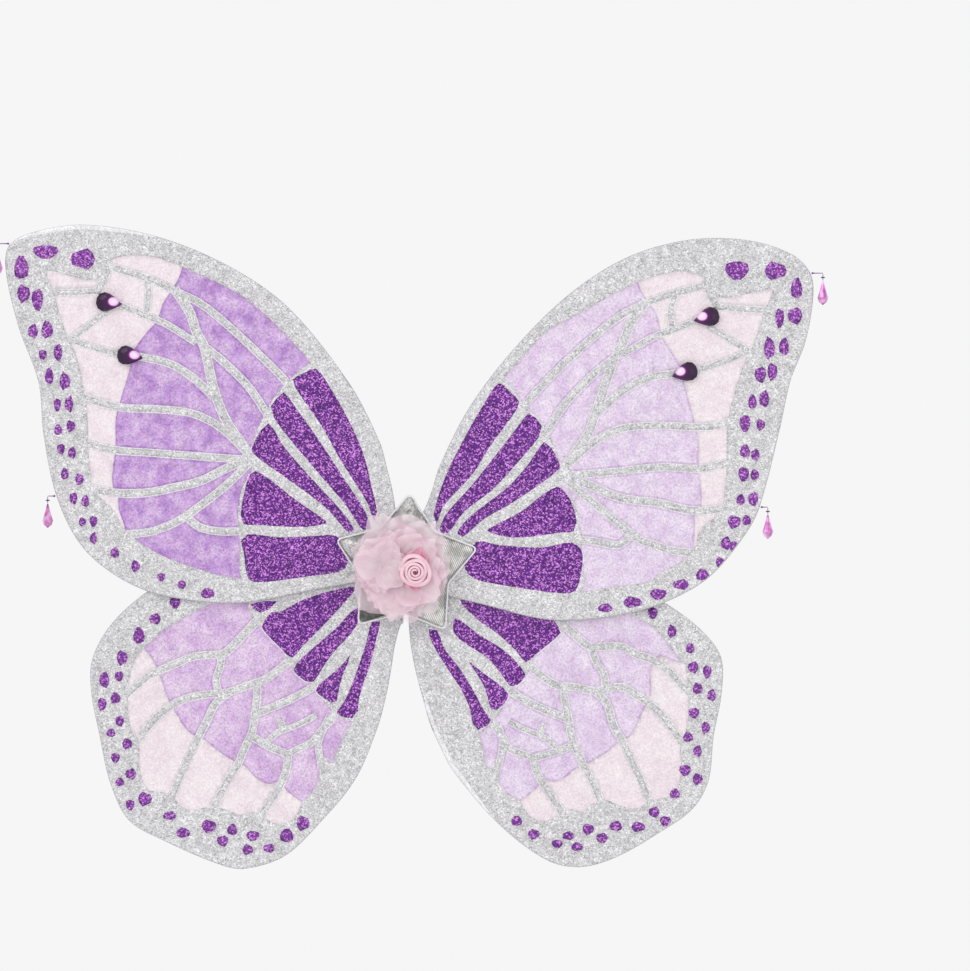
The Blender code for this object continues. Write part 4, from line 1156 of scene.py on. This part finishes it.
def strap_end(side, sign, height, up):
    """The tape folded round a strap's end and sewn down with a crossed box."""
    front_y, rear_y = -3.72, -1.95
    # the fold is at the end away from where the strap comes in
    mouth, fold = (20.6, 30.8) if up > 0 else (-31.4, -21.2)
    turn = 1 if fold > mouth else -1
    reach = (rear_y - front_y) / 2
    path = [Vector((sign * STRAP_X, rear_y, mouth + (fold - mouth) * t)) for t in (0, 0.3, 0.6, 0.9, 1)]
    for k in range(1, 6):
        a = math.pi * k / 6
        path.append(Vector((sign * STRAP_X, (front_y + rear_y) / 2 + reach * math.cos(a),
                            fold + turn * 0.7 * math.sin(a))))
    path += [Vector((sign * STRAP_X, front_y, mouth + (fold - mouth) * t)) for t in (1, 0.9, 0.6, 0.3, 0)]
    piece = strip(f"folded_strap_end_{side}_{height}", path, [Vector((1, 0, 0))] * len(path), 5.3, 0.28,
                  "elastic")
    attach(piece, "root")
    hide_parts(f"strap_end_{side}_{height}")

    low, high = sorted((mouth + turn * 1.6, fold - turn * 0.4))
    box = ((-3.9, low), (3.9, low), (3.9, high), (-3.9, high))
    corners = [Vector((sign * STRAP_X + x, z)) for x, z in box]
    runs = list(zip(corners, corners[1:] + corners[:1]))
    runs += [(corners[0], corners[2]), (corners[1], corners[3])]
    verts, faces = [], []
    for a, b in runs:
        parts = round((b - a).length / 1.5)
        for k in range(parts):
            p, q = a.lerp(b, (k + 0.14) / parts), a.lerp(b, (k + 0.86) / parts)
            rise = [0.0, 0.22, 0.22, 0.0]
            places = [p, p.lerp(q, 0.2), p.lerp(q, 0.8), q]
            add_thread(verts, faces, [Vector((c.x, rear_y + 0.22 + r, c.y)) * MM
                                      for c, r in zip(places, rise)], 0.17 * MM)
    stitches = new_piece(f"strap_stitching_{side}_{height}", verts, faces, ["stitch"])
    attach(stitches, "root")


def straps():
    """The elastic arm loops, from the sewn ends to the loop and back."""
    for side, sign in (("left", -1), ("right", 1)):
        strap_end(side, sign, "top", 1)
        strap_end(side, sign, "bottom", -1)
        cos, sin = math.cos(STRAP_HEADING), math.sin(STRAP_HEADING)
        path = [Vector((sign * (STRAP_X + p.x * cos), STRAP_Y + p.x * sin, p.y))
                for p in smooth(STRAP_ROUTE, step=4)]
        top = [Vector((sign * STRAP_X, y, z)) for y, z in ((-2.84, 29), (-2.84, 25), (-2.6, 21), (2.0, 17.6))]
        low = [Vector((sign * STRAP_X, y, z))
               for y, z in ((5.6, -43.5), (0.2, -37), (-2.84, -31), (-2.84, -23))]
        path = smooth(top + path[1:-1] + low, step=3)
        across = Vector((math.cos(STRAP_HEADING + math.pi / 2) * sign,
                         math.sin(STRAP_HEADING + math.pi / 2), 0))
        n = len(path)
        wides = []
        for i in range(n):
            ease = min(1, max(0, min(i, n - 1 - i) - 3) / 6)
            wides.append(Vector((sign, 0, 0)).lerp(-across, ease).normalized())
        piece = strip(f"{side}_arm_elastic", path, wides, STRAP_HALF_WIDTH, STRAP_HALF_THICK, "elastic")
        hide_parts(f"{side}_strap")
        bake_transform(piece)


# ---------------------------------------------------------------- stage
def stage():
    s = Surface("pale_floor", roughness=0.9)
    s.link(s.ramp(s.noise(0.4, 1.0), [(0.0, (0.90, 0.90, 0.90)), (1.0, (0.92, 0.92, 0.92))]), "Base Color")
    SURFACES["floor"] = s.material
    around = [(1.7 * math.cos(a), 1.7 * math.sin(a), -0.55)
              for a in (math.radians(6 * k) for k in range(60))]
    floor = new_piece("floor", around, [tuple(range(60))], ["floor"])

    world = bpy.data.worlds.new("studio")
    bpy.context.scene.world = world
    world.use_nodes = True
    world.node_tree.nodes["Background"].inputs["Color"].default_value = (1, 1, 1, 1)
    world.node_tree.nodes["Background"].inputs["Strength"].default_value = 0.92

    def lamp(name, place, aim, size, energy):
        data = bpy.data.lights.new(name, "AREA")
        data.size, data.energy = size, energy
        obj = bpy.data.objects.new(name, data)
        obj.location = place
        obj.rotation_euler = (Vector(aim) - Vector(place)).to_track_quat("-Z", "Y").to_euler()
        bpy.context.scene.collection.objects.link(obj)

    lamp("key", (-1.2, -1.8, 1.7), (0, 0, 0), 1.4, 9)
    lamp("fill", (1.6, -1.6, 0.5), (0, 0, 0), 1.6, 3)
    lamp("back_fill", (0.6, 2.2, 1.4), (0, 0, 0), 1.5, 6)

    camera = bpy.data.cameras.new("camera")
    camera.lens, camera.sensor_width = 135, 36
    width = 0.6596
    distance = width / 2 / (camera.sensor_width / 2 / camera.lens)
    view = bpy.data.objects.new("camera", camera)
    view.location = (0.0524, UPPER_Y - distance, 0.0507)
    view.rotation_euler = (math.radians(90), 0, 0)
    bpy.context.scene.collection.objects.link(view)
    bpy.context.scene.camera = view
    bpy.context.scene.view_settings.view_transform = "Standard"


wings()
star()
flower()
carried_over()
binding()
pad()
straps()
stage()
